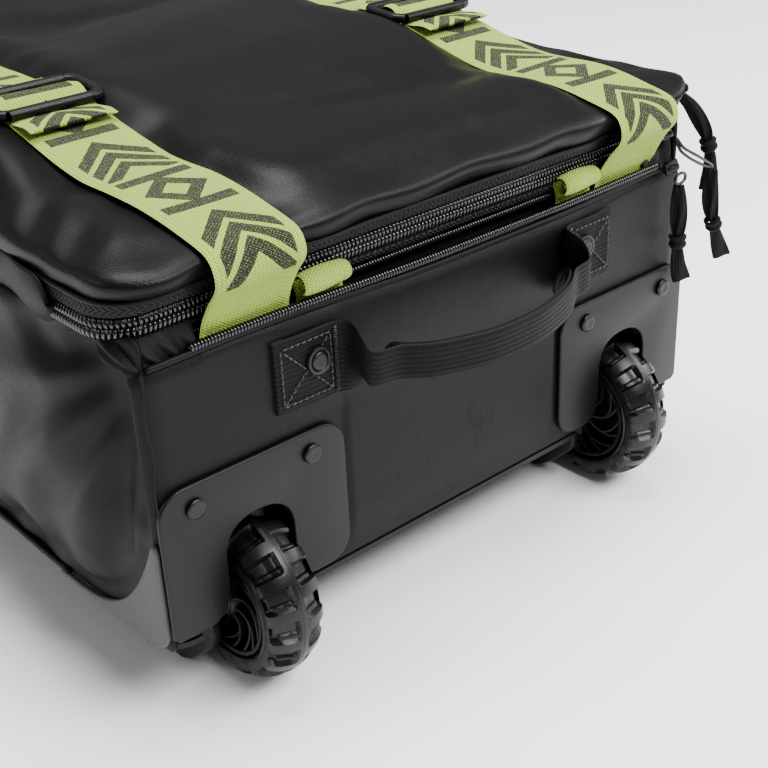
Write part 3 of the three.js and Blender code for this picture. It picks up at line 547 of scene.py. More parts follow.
def strap_webbing(name):
    """Pale lime webbing with black woven chevrons, bars and lozenges, and a plain selvedge."""
    paint = Paint(name, specular=0.2, sheen_weight=0.05, sheen_roughness=0.5)
    u, v = paint.uv()
    weft = paint.wave(u, 0.00155)
    warp = paint.wave(v, 0.0021)
    offset = paint.math("GREATER_THAN", warp, 0.5)
    weave = paint.math("ABSOLUTE", paint.math("SUBTRACT", weft, offset))
    across = paint.math("ABSOLUTE", v)
    repeat, plain = 0.096, 0.036  # the figure's length, and the plain end before the first one
    place = paint.math("FRACT", paint.times_plus(u, 1 / repeat, -plain / repeat))

    def stripe(centre, half, slope):
        """A bar across the strap at a share of the repeat, slanting by slope."""
        leaning = paint.times_plus(across, slope / repeat, place)
        away = paint.math("ABSOLUTE", paint.math("SUBTRACT", leaning, centre))
        return paint.math("LESS_THAN", away, half)

    chevrons = stripe(0.17, CHEVRON_HALF, 1.0)
    for centre in (0.30, 0.43):
        chevrons = paint.math("MAXIMUM", chevrons, stripe(centre, CHEVRON_HALF, 1.0))
    bars = paint.math("MAXIMUM", stripe(0.56, BAR_HALF, 0.0), stripe(0.93, BAR_HALF, 0.0))
    away = paint.times(paint.math("ABSOLUTE", paint.math("SUBTRACT", place, 0.745)), repeat)
    spread = paint.plus(away, across)
    lozenge = paint.times(paint.math("LESS_THAN", spread, 0.0165),
                         paint.math("GREATER_THAN", spread, 0.0075))
    figure = paint.math("MAXIMUM", paint.math("MAXIMUM", chevrons, bars), lozenge)
    inside = paint.times(paint.math("LESS_THAN", across, 0.0185),
                        paint.math("GREATER_THAN", u, plain))
    thread = paint.math("GREATER_THAN", paint.plus(weave, paint.noise(2600, 1)), 0.5)
    black = paint.times(paint.times(figure, inside), thread)
    blotch = paint.noise(26, 3)
    lime = paint.mix(weave, srgb(116, 141, 42), srgb(158, 183, 78))
    lime = paint.mix(paint.times(blotch, 0.3), lime, srgb(156, 178, 72))
    paint.colour(paint.mix(black, lime, srgb(20, 22, 16)))
    paint.rough(paint.times_plus(weave, -0.1, 0.78))
    paint.normal(paint.bump(paint.times_plus(warp, 0.5, weave), 0.00045))
    return paint.material


def black_webbing(name, rib_width=0.0024):
    """Black ribbed webbing: ribs along it and fine picks across."""
    paint = Paint(name, specular=0.12, sheen_weight=0.01, sheen_roughness=0.4)
    u, v = paint.uv()
    rib = paint.wave(v, rib_width)
    pick = paint.wave(paint.plus(u, paint.times(rib, 0.0006)), 0.0014)
    height = paint.times(paint.math("POWER", rib, 0.6),
                        paint.times_plus(pick, 0.5, 0.5))
    fuzz = paint.noise(1500, 2)
    paint.colour(paint.mix(paint.times_plus(fuzz, 0.35, paint.times(height, 0.65)),
                           srgb(3, 3, 3), srgb(19, 19, 20)))
    paint.rough(paint.times_plus(height, -0.12, 0.72))
    paint.normal(paint.bump(height, 0.0003))
    return paint.material


def zip_tape(name):
    """Woven zip tape in a herringbone, with UVs along it and across it."""
    paint = Paint(name, specular=0.12, sheen_weight=0.01, sheen_roughness=0.4)
    u, v = paint.uv()
    fold = paint.math("PINGPONG", v, 0.0028)
    bone = paint.wave(paint.plus(u, fold), 0.0027)
    paint.colour(paint.mix(bone, srgb(3, 3, 3), srgb(38, 38, 40)))
    paint.rough(paint.times_plus(bone, -0.12, 0.68))
    paint.normal(paint.bump(bone, 0.0005))
    return paint.material


def nylon(name, colour, roughness):
    paint = Paint(name, coat_weight=0.3, coat_roughness=0.1)
    flow = paint.noise(700, 2)
    paint.colour(paint.mix(flow, colour, tuple(c * 1.7 for c in colour[:3]) + (1.0,)))
    paint.rough(paint.times_plus(flow, 0.14, roughness - 0.07))
    paint.normal(paint.bump(flow, 0.00005))
    return paint.material


def metal(name, colour, roughness, brush):
    """Plated or anodised metal with a drawn grain and small marks."""
    paint = Paint(name, metallic=1.0)
    grain = paint.noise(260, 4, 0.6, stretch=brush)
    marks = paint.between(paint.noise(120, 6, 0.75), 0.58, 0.72)
    paint.colour(paint.mix(grain, tuple(c * 0.72 for c in colour[:3]) + (1.0,), colour))
    paint.rough(paint.times_plus(marks, 0.16,
                           paint.times_plus(grain, 0.16, roughness - 0.08)))
    paint.normal(paint.bump(grain, 0.00003))
    return paint.material


def tyre_rubber(name):
    """Satin moulded rubber with a faint bloom of dust in its grain."""
    paint = Paint(name, specular=0.3)
    bloom = paint.noise(34, 5)
    grit = paint.noise(1100, 3)
    paint.colour(paint.mix(paint.times_plus(bloom, 0.6, paint.times(grit, 0.4)),
                           srgb(2, 2, 3), srgb(6, 6, 7)))
    paint.rough(paint.times_plus(bloom, 0.2, 0.22))
    paint.normal(paint.bump(grit, 0.00009, paint.bump(paint.noise(90, 3), 0.00022)))
    return paint.material


def stitch_thread(name):
    paint = Paint(name, sheen_weight=0.2)
    twist = paint.noise(2400, 2)
    paint.colour(paint.mix(twist, srgb(10, 10, 10), srgb(40, 40, 41)))
    paint.rough(paint.times_plus(twist, 0.2, 0.5))
    paint.normal(paint.bump(twist, 0.0001))
    return paint.material


COATED = coated_fabric("coated_panel", srgb(6, 6, 7), srgb(12, 12, 13), 0.44, 0.0011)
LID_CLOTH = coated_fabric("lid_cloth", srgb(3, 3, 4), srgb(9, 9, 11), 0.38, 0.0016, 0.13)
TWILL = twill_fabric("side_twill")
TPU = moulded("kick_plate_skin", srgb(6, 6, 7), srgb(11, 11, 12), 0.42, 0.0013, 0.00004, 0.05)
PLASTIC = moulded("black_plastic", srgb(5, 5, 6), srgb(12, 12, 13), 0.4, 0.0009, 0.00006, 0.06)
GUARD = moulded("guard_plastic", srgb(64, 64, 63), srgb(80, 80, 79), 0.5, 0.001, 0.00009, 0.06)
RUBBER = tyre_rubber("tyre_rubber")
RIM = moulded("rim_plastic", srgb(7, 7, 8), srgb(17, 18, 19), 0.36, 0.0012, 0.00004, 0.05)
LIME = strap_webbing("lime_webbing")
WEBBING = black_webbing("black_webbing")
RIBBON = black_webbing("pull_webbing", 0.0016)
TAPE = zip_tape("zip_tape")
COIL = nylon("zip_coil", srgb(5, 5, 5), 0.2)
STEEL = metal("plated_steel", srgb(180, 182, 185), 0.3, (1, 1, 6))
WIRE = metal("bright_wire", srgb(62, 63, 65), 0.34, (1, 1, 6))
BLACKENED = metal("blackened_steel", srgb(52, 52, 54), 0.4, (1, 6, 1))
ALUMINIUM = metal("anodised_tube", srgb(150, 152, 156), 0.34, (8, 0.3, 8))
THREAD = stitch_thread("thread")
LINING = coated_fabric("lining_cloth", srgb(12, 12, 13), srgb(22, 22, 24), 0.7, 0.0009)


# ------------------------------------------------------------------ cloth
def simulate(obj, shape, pins, stretch, pressure, limit, evened, steps=18):
    """Cloth held at its pinned points, with a little spare cloth, stepped and then frozen.

    shape is the grid's rows and columns. pins is a weight for each point. No point moves further
    than limit from its start, and evened says how often the movement is averaged with the
    neighbours' movement.
    """
    start = np.array([v.co for v in obj.data.vertices])
    group = obj.vertex_groups.new(name="pins")
    for weight in np.unique(np.round(pins, 2)):
        if weight > 0:
            members = np.nonzero(np.abs(pins - weight) < 0.006)[0].tolist()
            group.add(members, float(weight), "REPLACE")
    modifier = obj.modifiers.new("cloth", "CLOTH")
    cloth = modifier.settings
    cloth.quality = 6
    cloth.mass = 0.25
    cloth.tension_stiffness = 25
    cloth.compression_stiffness = 12
    cloth.shear_stiffness = 8
    cloth.bending_stiffness = 0.9
    cloth.air_damping = 3
    cloth.vertex_group_mass = "pins"
    cloth.pin_stiffness = 3
    cloth.shrink_min = -stretch
    cloth.use_pressure = True
    cloth.uniform_pressure_force = pressure
    cloth.effector_weights.gravity = 0
    modifier.collision_settings.use_self_collision = False
    scene = bpy.context.scene
    modifier.point_cache.frame_start = 1
    modifier.point_cache.frame_end = steps
    for step in range(1, steps + 1):
        scene.frame_set(step)
    graph = bpy.context.evaluated_depsgraph_get()
    moved = np.array([v.co for v in obj.evaluated_get(graph).data.vertices])
    obj.modifiers.remove(modifier)
    obj.vertex_groups.remove(group)
    scene.frame_set(1)
    shift = moved - start
    distance = np.linalg.norm(shift, axis=1, keepdims=True)
    shift *= np.minimum(1, limit * MM / np.maximum(distance, 1e-9))
    field = shift.reshape(*shape, 3)
    for _ in range(evened):
        padded = np.pad(field, ((1, 1), (1, 1), (0, 0)), mode="edge")
        field = (padded[1:-1, 1:-1] * 4 + padded[:-2, 1:-1] + padded[2:, 1:-1]
                 + padded[1:-1, :-2] + padded[1:-1, 2:]) / 8
    shift = field.reshape(-1, 3) * (pins < 1)[:, None]
    obj.data.vertices.foreach_set("co", (start + shift).astype(np.float32).ravel())
    obj.data.update()


def thicken(obj, thickness, offset=-1):
    modifier = obj.modifiers.new("thickness", "SOLIDIFY")
    modifier.thickness = thickness * MM
    modifier.offset = offset
    return obj


# ------------------------------------------------------------------ lid
LID_WALL = ((0, LID_Z), (0.14, 206.5), (0.27, 211.5), (0.58, 217.5), (0.68, 223.5))
LID_SHOULDER_Z = LID_WALL[-1][1]
LID_END_TOP_Z = 234
LID_CELLS = (74, 104)
LID_CELL = 5.3  # a cell's width in the cloth's own UVs


def crown(y):
    """Height of the lid's top along its length: it domes between its two ends."""
    rise = smoothstep(y - FRONT_Y, 78, 178) * smoothstep(REAR_Y - y, 40, 150)
    return LID_END_TOP_Z + (LID_HIGH[2] - LID_END_TOP_Z) * rise


def lid_top(inset, y, x=0.0):
    """Height of the lid's top at a distance inside its edge."""
    shoulder = LID_SHOULDER_Z + 0.3 * zip_rise(x)
    reach = 1 - (1 - np.clip(inset / 45, 0, 1)) ** 2.5
    return shoulder + (crown(y) - shoulder) * reach


def ring_point(half_x, half_y, radius, side, t):
    """A point and normal on a rounded rectangle: side 0 to 3 anticlockwise from the front."""
    along, out = (half_x, half_y) if side % 2 == 0 else (half_y, half_x)
    arc = radius * math.pi / 4
    run = 2 * (along - radius)
    s = t * (run + 2 * arc)
    if s < arc:
        angle = -math.pi / 4 + s / max(radius, 1e-6)
        normal = (math.sin(angle), math.cos(angle))
        local = (-along + radius + radius * normal[0], out - radius + radius * normal[1])
    elif s > arc + run:
        angle = (s - arc - run) / max(radius, 1e-6)
        normal = (math.sin(angle), math.cos(angle))
        local = (along - radius + radius * normal[0], out - radius + radius * normal[1])
    else:
        local, normal = (-along + radius + s - arc, out), (0.0, 1.0)
    turns = ((lambda a, o: (a, -o)), (lambda a, o: (o, a)), (lambda a, o: (-a, o)),
             (lambda a, o: (-o, -a)))
    return turns[side](*local), turns[side](*normal)


def lid_swell(normal_y):
    """How far the lid's foot stands out over the zip: most at the wheel end, less at the rear."""
    return 2 + 20 * np.maximum(-normal_y, 0) ** 2 + 6 * np.maximum(normal_y, 0) ** 2


def strap_dent(x):
    """How far the straps press the lid in at x, and the soft swell beside them."""
    dent = 0.0
    for centre in STRAP_CENTRES.values():
        away = abs(x - centre)
        dent += 2.6 * (1 - smoothstep(away, 20, 36)) - 1.6 * math.exp(-((away - 44) / 14) ** 2)
    return dent * (1 - smoothstep(abs(x), 160, 172))


# Broad slack across the lid: where each wave crosses its middle, its lean, width and height.
LID_SLACK = ((-150, 0.32, 26, 1.9), (-88, -0.18, 34, -1.7), (-20, 0.4, 30, 2.0),
             (66, -0.3, 38, -1.6), (150, 0.22, 32, 2.0))


def gathers(x, y, inset):
    """Small gathers where the lid meets the zip by its corners, and broad slack on its top."""
    corner = smoothstep(abs(x), 118, 170) * smoothstep(abs(y - 21), 150, 236)
    small = 2.1 * corner * math.exp(-((inset - 14) / 13) ** 2) \
        * math.sin((x * 0.7 - y) / 5.6 + 0.06 * inset)
    broad = 0.0
    for middle, lean, width, height in LID_SLACK:
        broad += height * math.exp(-((y - middle - lean * x) / width) ** 2)
    return small + broad * smoothstep(inset, 26, 70)


def build_lid():
    columns, rows = LID_CELLS[0] + 1, LID_CELLS[1] + 1
    wall = len(LID_WALL)
    middle_y = (ZIP_FRONT_Y + REAR_Y) / 2
    half_y = (REAR_Y - ZIP_FRONT_Y) / 2
    inset_step = ZIP_HALF_X / (LID_CELLS[0] / 2 - wall + 1)
    points, pins = [], []
    for j in range(rows):
        for i in range(columns):
            ring = min(i, j, columns - 1 - i, rows - 1 - j)
            inset = max(ring - wall + 1, 0) * inset_step
            across = max(columns - 1 - 2 * ring, 1)
            down = max(rows - 1 - 2 * ring, 1)
            if j == ring:
                side, t = 0, (i - ring) / across
            elif j == rows - 1 - ring:
                side, t = 2, (columns - 1 - ring - i) / across
            elif i == columns - 1 - ring:
                side, t = 1, (j - ring) / down
            else:
                side, t = 3, (rows - 1 - ring - j) / down
            hx, hy = max(ZIP_HALF_X - inset, 0.001), half_y - inset
            radius = min(ZIP_CORNER + 0.6 * min(inset, 45), hx)
            (x, y), normal = ring_point(hx, hy, radius, side, t)
            y += middle_y
            if ring < wall:
                part, z = LID_WALL[ring]
                out = part * lid_swell(normal[1])
                x, y = x + normal[0] * out, y + normal[1] * out
                share = (z - LID_Z) / (LID_SHOULDER_Z - LID_Z)
                z += zip_rise(x) * (1 - 0.7 * share)
                dent = strap_dent(x) * min(ring / 2, 1) * smoothstep(abs(normal[1]), 0.85, 1)
                y -= normal[1] * dent * (1 - 0.5 * share)
            else:
                from_end = hy + inset - abs(y - middle_y)
                z = lid_top(inset, y, x) + gathers(x, y, inset) \
                    - strap_dent(x) * smoothstep(from_end, 2, 26)
            points.append((x, y, z))
            on_strap = min(abs(x - c) for c in STRAP_CENTRES.values()) < 21
            pins.append(1.0 if ring < 2 else (0.7 if on_strap else 0.0))
    uv = [(i * LID_CELL * MM, j * LID_CELL * MM) for j in range(rows) for i in range(columns)]
    lid = make("lid", points, grid_faces(rows, columns), LID_CLOTH, uv)
    simulate(lid, (rows, columns), np.array(pins), 0.022, 0.8, 5, 4)
    subdivide(lid)
    thicken(lid, 3.2)
    settle(lid, "lid", "lid_shell")
    return lid


# ------------------------------------------------------------------ side walls
GUARD_LENGTH, GUARD_TOP, GUARD_BOTTOM = 93, 99, 38.8
BODY_LENGTH = REAR_Y - FRONT_Y
SIDE_X = 178.5  # where the side cloth's edges are sewn in
SIDE_POINTS = (34, 112)
SIDE_HEIGHT = 157
TRAY_CLEAR_X = 177  # the cloth stays outside the base tray's wall


def guard_edge(s):
    """Height of the corner guard's concave upper edge at s from the wheel end."""
    fall = 1 - (1 - np.clip((s - 4) / GUARD_LENGTH, 0, 1)) ** 3.2
    return GUARD_TOP + (GUARD_BOTTOM - GUARD_TOP) * fall


def side_offset(s, z):
    """The side cloth's |x| without folds, at s from the wheel end and height z."""
    floor = guard_edge(s - 8) + 14
    ends = smoothstep(s, 4, 60) * smoothstep(BODY_LENGTH - s, 4, 60)
    clear = smoothstep(z, floor, floor + 40)
    rise = (z - GUARD_BOTTOM) / (ZIP_Z - GUARD_BOTTOM)
    belly = smoothstep(ZIP_Z - z, -30, 70)
    near = np.minimum(s, BODY_LENGTH - s)
    turn = np.clip(1 - near / 13, 0, 1)
    return SIDE_X - 8.5 * (1 - np.sqrt(1 - turn**2)) * smoothstep(z, floor - 12, floor + 4) \
        + ends * clear * (4.6 * rise**2 + 10 * belly)


# Soft folds: where each crosses mid height, its lean, height, width and depth, in millimetres.
FOLDS = (
    (20, 0.16, 1.0, 6, 3.4), (36, 0.42, 1.0, 7, 4.2), (58, 0.62, 0.95, 9, 4.6),
    (92, 0.72, 0.85, 12, 4.4), (138, 0.35, 0.7, 16, 3.0), (182, -0.3, 0.8, 20, 3.0),
    (236, 0.25, 0.9, 22, 2.4), (292, -0.4, 0.8, 20, 3.0), (352, 0.35, 0.75, 18, 2.8),
    (420, -0.25, 0.9, 15, 3.2), (478, 0.4, 0.9, 12, 3.6), (508, 0.15, 1.0, 8, 3.2),
)


def folds(s, z):
    """Relief of the soft folds at s from the wheel end and height z."""
    total = 0.0
    height = (z - GUARD_BOTTOM) / (ZIP_Z - GUARD_BOTTOM)
    for place, lean, reach, width, depth in FOLDS:
        away = (s - place - lean * (ZIP_Z - 60 - z)) / width
        total = total + depth * np.exp(-away**2) * smoothstep(height, 0.02, 0.3) \
            * smoothstep(reach + 0.1 - height, 0.0, 0.35)
    return total


# Pleats that fan out from the zip's front corner: degrees below level, their width and height.
FAN = ((16, 8, 5.0), (41, 8, 9.0), (63, 7, 8.0), (83, 5.5, 8.0))


def fan(s, z):
    """Relief of the pleats at s from the wheel end and height z."""
    along, down = np.maximum(s - 3, 0.1), ZIP_Z - 14 - z
    angle = np.degrees(np.arctan2(down, along))
    far = np.hypot(along, down)
    total = 0.0
    for middle, width, height in FAN:
        total = total + height * np.exp(-((angle - middle) / width) ** 2)
    return total * smoothstep(far, 6, 44) * (1 - smoothstep(far, 105, 190)) \
        * smoothstep(z - guard_edge(s), 2, 20)


def build_side(name):
    side = SIDES[name]
    strip_low, strip_high = cad_box(f"{name}_handle_strip")
    strip_x = min(abs(strip_low[0]), abs(strip_high[0])) + 0.2
    rows, columns = SIDE_POINTS
    points, pins, uv = [], [], []
    for r in range(rows):
        for c in range(columns):
            s = 2.5 + (BODY_LENGTH - 5) * c / (columns - 1)
            height = r / (rows - 1)
            z = GUARD_BOTTOM + (ZIP_Z - GUARD_BOTTOM) * height
            mirrored = BODY_LENGTH - s if side > 0 else s
            edge = smoothstep(s, 2, 22) * smoothstep(BODY_LENGTH - s, 2, 22) \
                * smoothstep(height, 0, 0.08) * smoothstep(1 - height, 0, 0.12)
            covered = z < guard_edge(s) + 4 and s < GUARD_LENGTH + 6
            pleats = 1.25 * folds(mirrored, z) * smoothstep(s, 55, 120) + fan(s, z)
            offset = side_offset(s, z) + (0 if covered else edge * (pleats - 3))
            y = FRONT_Y + s
            under_strip = smoothstep(z, strip_low[2] - 18, strip_low[2]) \
                * smoothstep(strip_high[2] + 18 - z, 0, 18) \
                * smoothstep(y, strip_low[1] - 24, strip_low[1] - 2) \
                * smoothstep(strip_high[1] + 24 - y, 0, 22)
            x = side * (offset + (strip_x - offset) * under_strip)
            z += height**2 * zip_rise(x) if side > 0 else 0
            points.append((x, y, z))
            at_edge = min(r, c, rows - 1 - r, columns - 1 - c) == 0
            pins.append(1.0 if at_edge or covered or under_strip > 0.97 else 0.0)
            uv.append((s * MM, height * SIDE_HEIGHT * MM))
    faces = grid_faces(rows, columns, flip=side < 0)
    panel = make(f"side_cloth_{name}", points, faces, TWILL, uv)
    simulate(panel, (rows, columns), np.array(pins), 0.045, 0.8, 5, 2)
    for vertex in panel.data.vertices:
        if FRONT_Y + 14 < vertex.co.y / MM < REAR_Y - 14:
            vertex.co.x = side * max(side * vertex.co.x, TRAY_CLEAR_X * MM)
    subdivide(panel)
    thicken(panel, 2.4)
    settle(panel, "shell", f"side_panel_{name}")
    return panel


# ------------------------------------------------------------------ cargo straps
def strap_route():
    """The strap's middle line as (y, z), from inside the pocket, over the lid, to the rear."""
    lift = 2.8
    front, rear = lid_swell(-1), lid_swell(1)
    edge = ZIP_FRONT_Y - front * LID_WALL[-1][0] - lift
    route = [(FRONT_Y + 7, 177), (FRONT_Y + 6, 187), (FRONT_Y + 2.5, 194), (FRONT_Y - 1.2, 200),
             (FRONT_Y - 4.2, 206), (edge - 3, 212), (edge - 1.8, 218), (edge, 224)]
    for inset in (2, 12, 24, 40, 65, 90, 115, 140, 165, 195, 235, 275):
        route.append((ZIP_FRONT_Y + inset, lid_top(inset + 6, ZIP_FRONT_Y + inset) + lift))
    for inset in (220, 180, 150, 125, 100, 75, 50, 25, 12, 4):
        route.append((REAR_Y - inset, lid_top(inset + 6, REAR_Y - inset) + lift))
    route += [(REAR_Y + rear * 0.5 + lift, 223), (REAR_Y + rear * 0.9 + lift, 217.5),
              (REAR_Y + rear + lift, 211.5), (REAR_Y + rear + lift - 1, 206)]
    return np.array(route, float)


RAY_START = 30  # how far outside the lid its surface is looked for


def laid_on(surface, route, centre, gap):
    """The route moved along its normals until it lies on the surface, a little proud of it."""
    path = np.column_stack([np.full(len(route), centre), route])
    _, _, normal = frames(path, (1, 0, 0))
    normal = -normal if normal[len(path) // 2, 2] < 0 else normal
    shift = np.zeros(len(path))
    for i, (point, out) in enumerate(zip(path, normal)):
        hits = []
        for across in (-19, -10, 0, 10, 19):
            start = Vector((point + (across, 0, 0) + out * RAY_START) * MM)
            _, _, _, distance = surface.ray_cast(start, Vector(-out), 2 * RAY_START * MM)
            if distance is not None:
                hits.append(RAY_START - distance / MM)
        shift[i] = np.mean(hits) + 0.5 * (max(hits) - np.mean(hits)) + gap if hits else 0
    kernel = np.array([1, 2, 3, 2, 1]) / 9
    padded = np.pad(shift, 2, mode="edge")
    return path + normal * np.convolve(padded, kernel, "valid")[:, None]


def strap_cupping(along, v):
    """Webbing never lies dead flat: its edges lift and dip slowly along it."""
    slow = np.sin(along[:, None] / 23.0 + 1.3) * 0.5 + np.sin(along[:, None] / 9.7) * 0.2
    return (np.abs(v[None, :]) * 2) ** 2 * slow + v[None, :] * np.sin(along[:, None] / 31.0)


def build_straps(lid):
    surface = BVHTree.FromObject(lid, bpy.context.evaluated_depsgraph_get())
    paths = {}
    for name, side in SIDES.items():
        centre = STRAP_CENTRES[name]
        route = resample(strap_route(), 330)
        path = laid_on(surface, route, centre, 1.8)
        fixed = np.column_stack([np.full(len(route), centre), route])
        run = lengths(route)
        share = smoothstep(run, 40, 66) * smoothstep(run[-1] - run, 4, 20)
        path = fixed * (1 - share[:, None]) + path * share[:, None]
        for _ in range(16):
            path[1:-1] = (path[:-2] + 2 * path[1:-1] + path[2:]) / 4
        paths[name] = path
        build = Build()
        webbing(build, path, (1, 0, 0), STRAP_WIDTH, STRAP_THICKNESS, strap_cupping)
        rolled_tail(build, side, centre)
        strap = build.done(f"cargo_strap_{name}_webbing", LIME)
        settle(strap, "lid", f"cargo_strap_{name}")
    return paths


def rolled_tail(build, side, centre):
    """The strap's spare end, rolled up beside it at the pocket's mouth."""
    length = 27
    beside = STRAP_WIDTH / 2 + 4
    near = centre + beside if side < 0 else centre - beside - length
    roll = [(FRONT_Y + 7, 170), (FRONT_Y + 7, 186)]
    for turn in np.linspace(0, 1, 40):
        angle = math.radians(-15 + 560 * turn)
        radius = 5.6 - 3.4 * turn
        roll.append((FRONT_Y + 3.2 + radius * math.cos(angle), 192.4 + radius * math.sin(angle)))
    route = resample(np.array(roll), 70)
    path = np.column_stack([np.full(len(route), near + length / 2), route])
    webbing(build, path, (1, 0, 0), length, 1.5, lambda along, v: 0.5 * np.sin(
        v[None, :] * 5 + along[:, None] / 17))
    build.uv[-1] = build.uv[-1] - (1, 0)


def build_tri_glides(paths):
    """A buckle on each strap, with the strap's doubled end humped over its middle bar."""
    for name in SIDES:
        low, high = cad_box(f"tri_glide_{name}")
        centre, middle_y = (low + high)[:2] / 2
        path = paths[name]
        nearest = int(np.argmin(np.abs(path[:, 1] - middle_y) + (path[:, 2] < 215) * 1e3))
        base = path[nearest]
        slope = path[nearest + 4] - path[nearest - 4]
        tilt = math.atan2(slope[2], slope[1])
        bars = Build()
        half_x, half_y = 28, 15
        loop = rounded_outline(-half_x, -half_y, half_x, half_y, 7, 8)
        ring = np.column_stack([np.array(loop), np.zeros(len(loop))])
        ring = np.vstack([ring, ring[:1]])
        swept(bars, resample(ring, 100), (0, 0, 1), rounded_outline(-2.1, -3, 2.7, 3, 2, 4),
              caps=False)
        swept(bars, np.array([(x, 0, -0.6) for x in np.linspace(-half_x, half_x, 12)]),
              (0, 0, 1), rounded_outline(-1.5, -3.2, 1.5, 3.2, 1.2, 4))
        hump = Build()
        over = [(0, -36, -1.6), (0, -29, -0.9), (0, -22, -2.0), (0, -15, -3.0), (0, -9, -0.4),
                (0, -4, 2.4), (0, 0, 3.1), (0, 4, 2.4), (0, 9, -0.4), (0, 15, -3.0),
                (0, 22, -3.2), (0, 31, -3.4)]
        webbing(hump, resample(over, 60), (1, 0, 0), STRAP_WIDTH - 1, STRAP_THICKNESS,
                strap_cupping)
        hump.uv[-1] = hump.uv[-1] + (0.052, 0)
        turn = np.array(Matrix.Rotation(tilt, 3, "X"))
        place = np.array([centre, base[1], base[2] + 3.9])
        for build, label, material, slot in ((bars, "frame", PLASTIC, "plastic"),
                                             (hump, "webbing", LIME, "lime")):
            build.points = [p @ turn.T + place for p in build.points]
            piece = build.done(f"tri_glide_{name}_{label}", material)
            if label == "frame":
                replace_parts(shade(piece, 50), f"tri_glide_{name}")
            settle(piece, "lid")


# ------------------------------------------------------------------ wheel-end panel
WELL_HALF = 19
ARCH_FLARE = 16
ARCH_SPRING_Z = 78


def quadratic(a, b, c, steps):
    t = np.linspace(0, 1, steps + 1)[:, None]
    return (1 - t) ** 2 * np.array(a) + 2 * t * (1 - t) * np.array(b) + t**2 * np.array(c)


def arch_line(side, grow=0.0, steps=8):
    """The wheel opening's edge as (x, z), from its inner foot over the top to its outer foot."""
    centre = side * WHEEL_X
    half = WELL_HALF + grow
    low, flare = PANEL_BOTTOM_Z, ARCH_FLARE
    top = ARCH_SPRING_Z + half - 1
    parts = [
        quadratic((centre - half - flare, low), (centre - half, low + 1),
                  (centre - half, low + 20), steps),
        quadratic((centre - half, ARCH_SPRING_Z), (centre - half, top), (centre, top), steps),
        quadratic((centre, top), (centre + half, top), (centre + half, ARCH_SPRING_Z), steps),
        quadratic((centre + half, low + 20), (centre + half, low + 1),
                  (centre + half + flare, low), steps),
    ]
    return np.vstack(parts)


def panel_bulge(x, z):
    """How far the panel's cloth stands out between its edges, above the kick plates."""
    upper = smoothstep(z, 118, 150) * (1 - smoothstep(z, 168, PANEL_TOP_Z + 3))
    middle = 1 - smoothstep(np.abs(x), 60, 168)
    return 2.6 * middle * np.maximum(upper, 0.55 * smoothstep(z, 46, 70) * (np.abs(x) < 72))


def panel_sag(x):
    """How far the panel's rolled top edge hangs below a straight line."""
    return 5.5 * (1 - smoothstep(np.abs(x - 30), 30, 175)) + 1.5 * smoothstep(-x, 60, 170)


def build_panel():
    """The coated panel: a face with a rolled rim, in columns from its lower to its upper edge."""
    half = PANEL_HIGH[0] + 1.5
    xs = list(np.linspace(-half, half, 181))
    for side in SIDES.values():
        xs += [side * WHEEL_X + d for d in (-WELL_HALF - 0.05, WELL_HALF + 0.05,
                                            -WELL_HALF + 0.05, WELL_HALF - 0.05)]
    xs = np.array(sorted(xs))
    floor = np.full(len(xs), PANEL_BOTTOM_Z, float)
    for side in SIDES.values():
        line = arch_line(side, 0, 24)
        inside = (xs > line[0, 0]) & (xs < line[-1, 0])
        order = np.argsort(line[:, 0], kind="stable")
        floor[inside] = np.maximum(PANEL_BOTTOM_Z, np.interp(xs[inside], line[order, 0],
                                                             line[order, 1]))
    rows = 36
    corner = 5 * (1 - np.sqrt(np.clip(1 - np.clip((np.abs(xs) - half + 5) / 5, 0, 1) ** 2, 0, 1)))
    top = PANEL_TOP_Z - panel_sag(xs) - corner
    t = np.linspace(0, 1, rows)
    z = floor[None, :] + (top - floor)[None, :] * t[:, None]
    x = np.broadcast_to(xs, z.shape)
    side_round = 7 * (1 - np.sqrt(1 - np.clip((np.abs(x) - half + 11) / 11.5, 0, 1) ** 2)) \
        * smoothstep(z, GUARD_TOP - 30, GUARD_TOP)
    side_round = np.maximum(side_round, 2.2 * smoothstep(np.abs(x), half - 5, half))
    roll = 2.5 * smoothstep(z, top[None, :] - 4, top[None, :]) ** 2
    y = FRONT_Y - panel_bulge(x, z) + side_round + roll
    front = np.stack([x, y, z], 2)
    back = np.stack([x, np.maximum(FRONT_Y + 3.6, y + 1.2), z - 0.2], 2)
    count = z.size
    points = np.vstack([front.reshape(-1, 3), back.reshape(-1, 3)])
    columns = len(xs)
    faces = grid_faces(rows, columns) + grid_faces(rows, columns, start=count, flip=True)
    faces += rim_faces(rows, columns, count)
    uv = np.vstack([front[:, :, [0, 2]].reshape(-1, 2)] * 2) * MM
    panel = shade(make("end_panel", points, faces, COATED, uv), 50)
    settle(panel, "shell", "wheel_end_panel")

    # Piping covers the panel's top edge and runs down both corners.
    trim = Build()
    edge = np.column_stack([xs, np.full(columns, FRONT_Y + 1.2), top + 0.4])[3:-3]
    section = oval(1.5, 1.6, 11)
    swept(trim, edge, (0, 1, 0), section)
    for side in SIDES.values():
        cord = [(side * (half - 3.4 + 0.5 * math.sin(z / 6)), FRONT_Y + 2.0, z)
                for z in np.linspace(GUARD_TOP - 4, PANEL_TOP_Z - 2, 60)]
        swept(trim, cord, (1, 0, 0), [(p[0] * 0.5, p[1] * 0.6) for p in section])
    piece = trim.done("panel_piping", COATED)
    settle(piece, "shell")


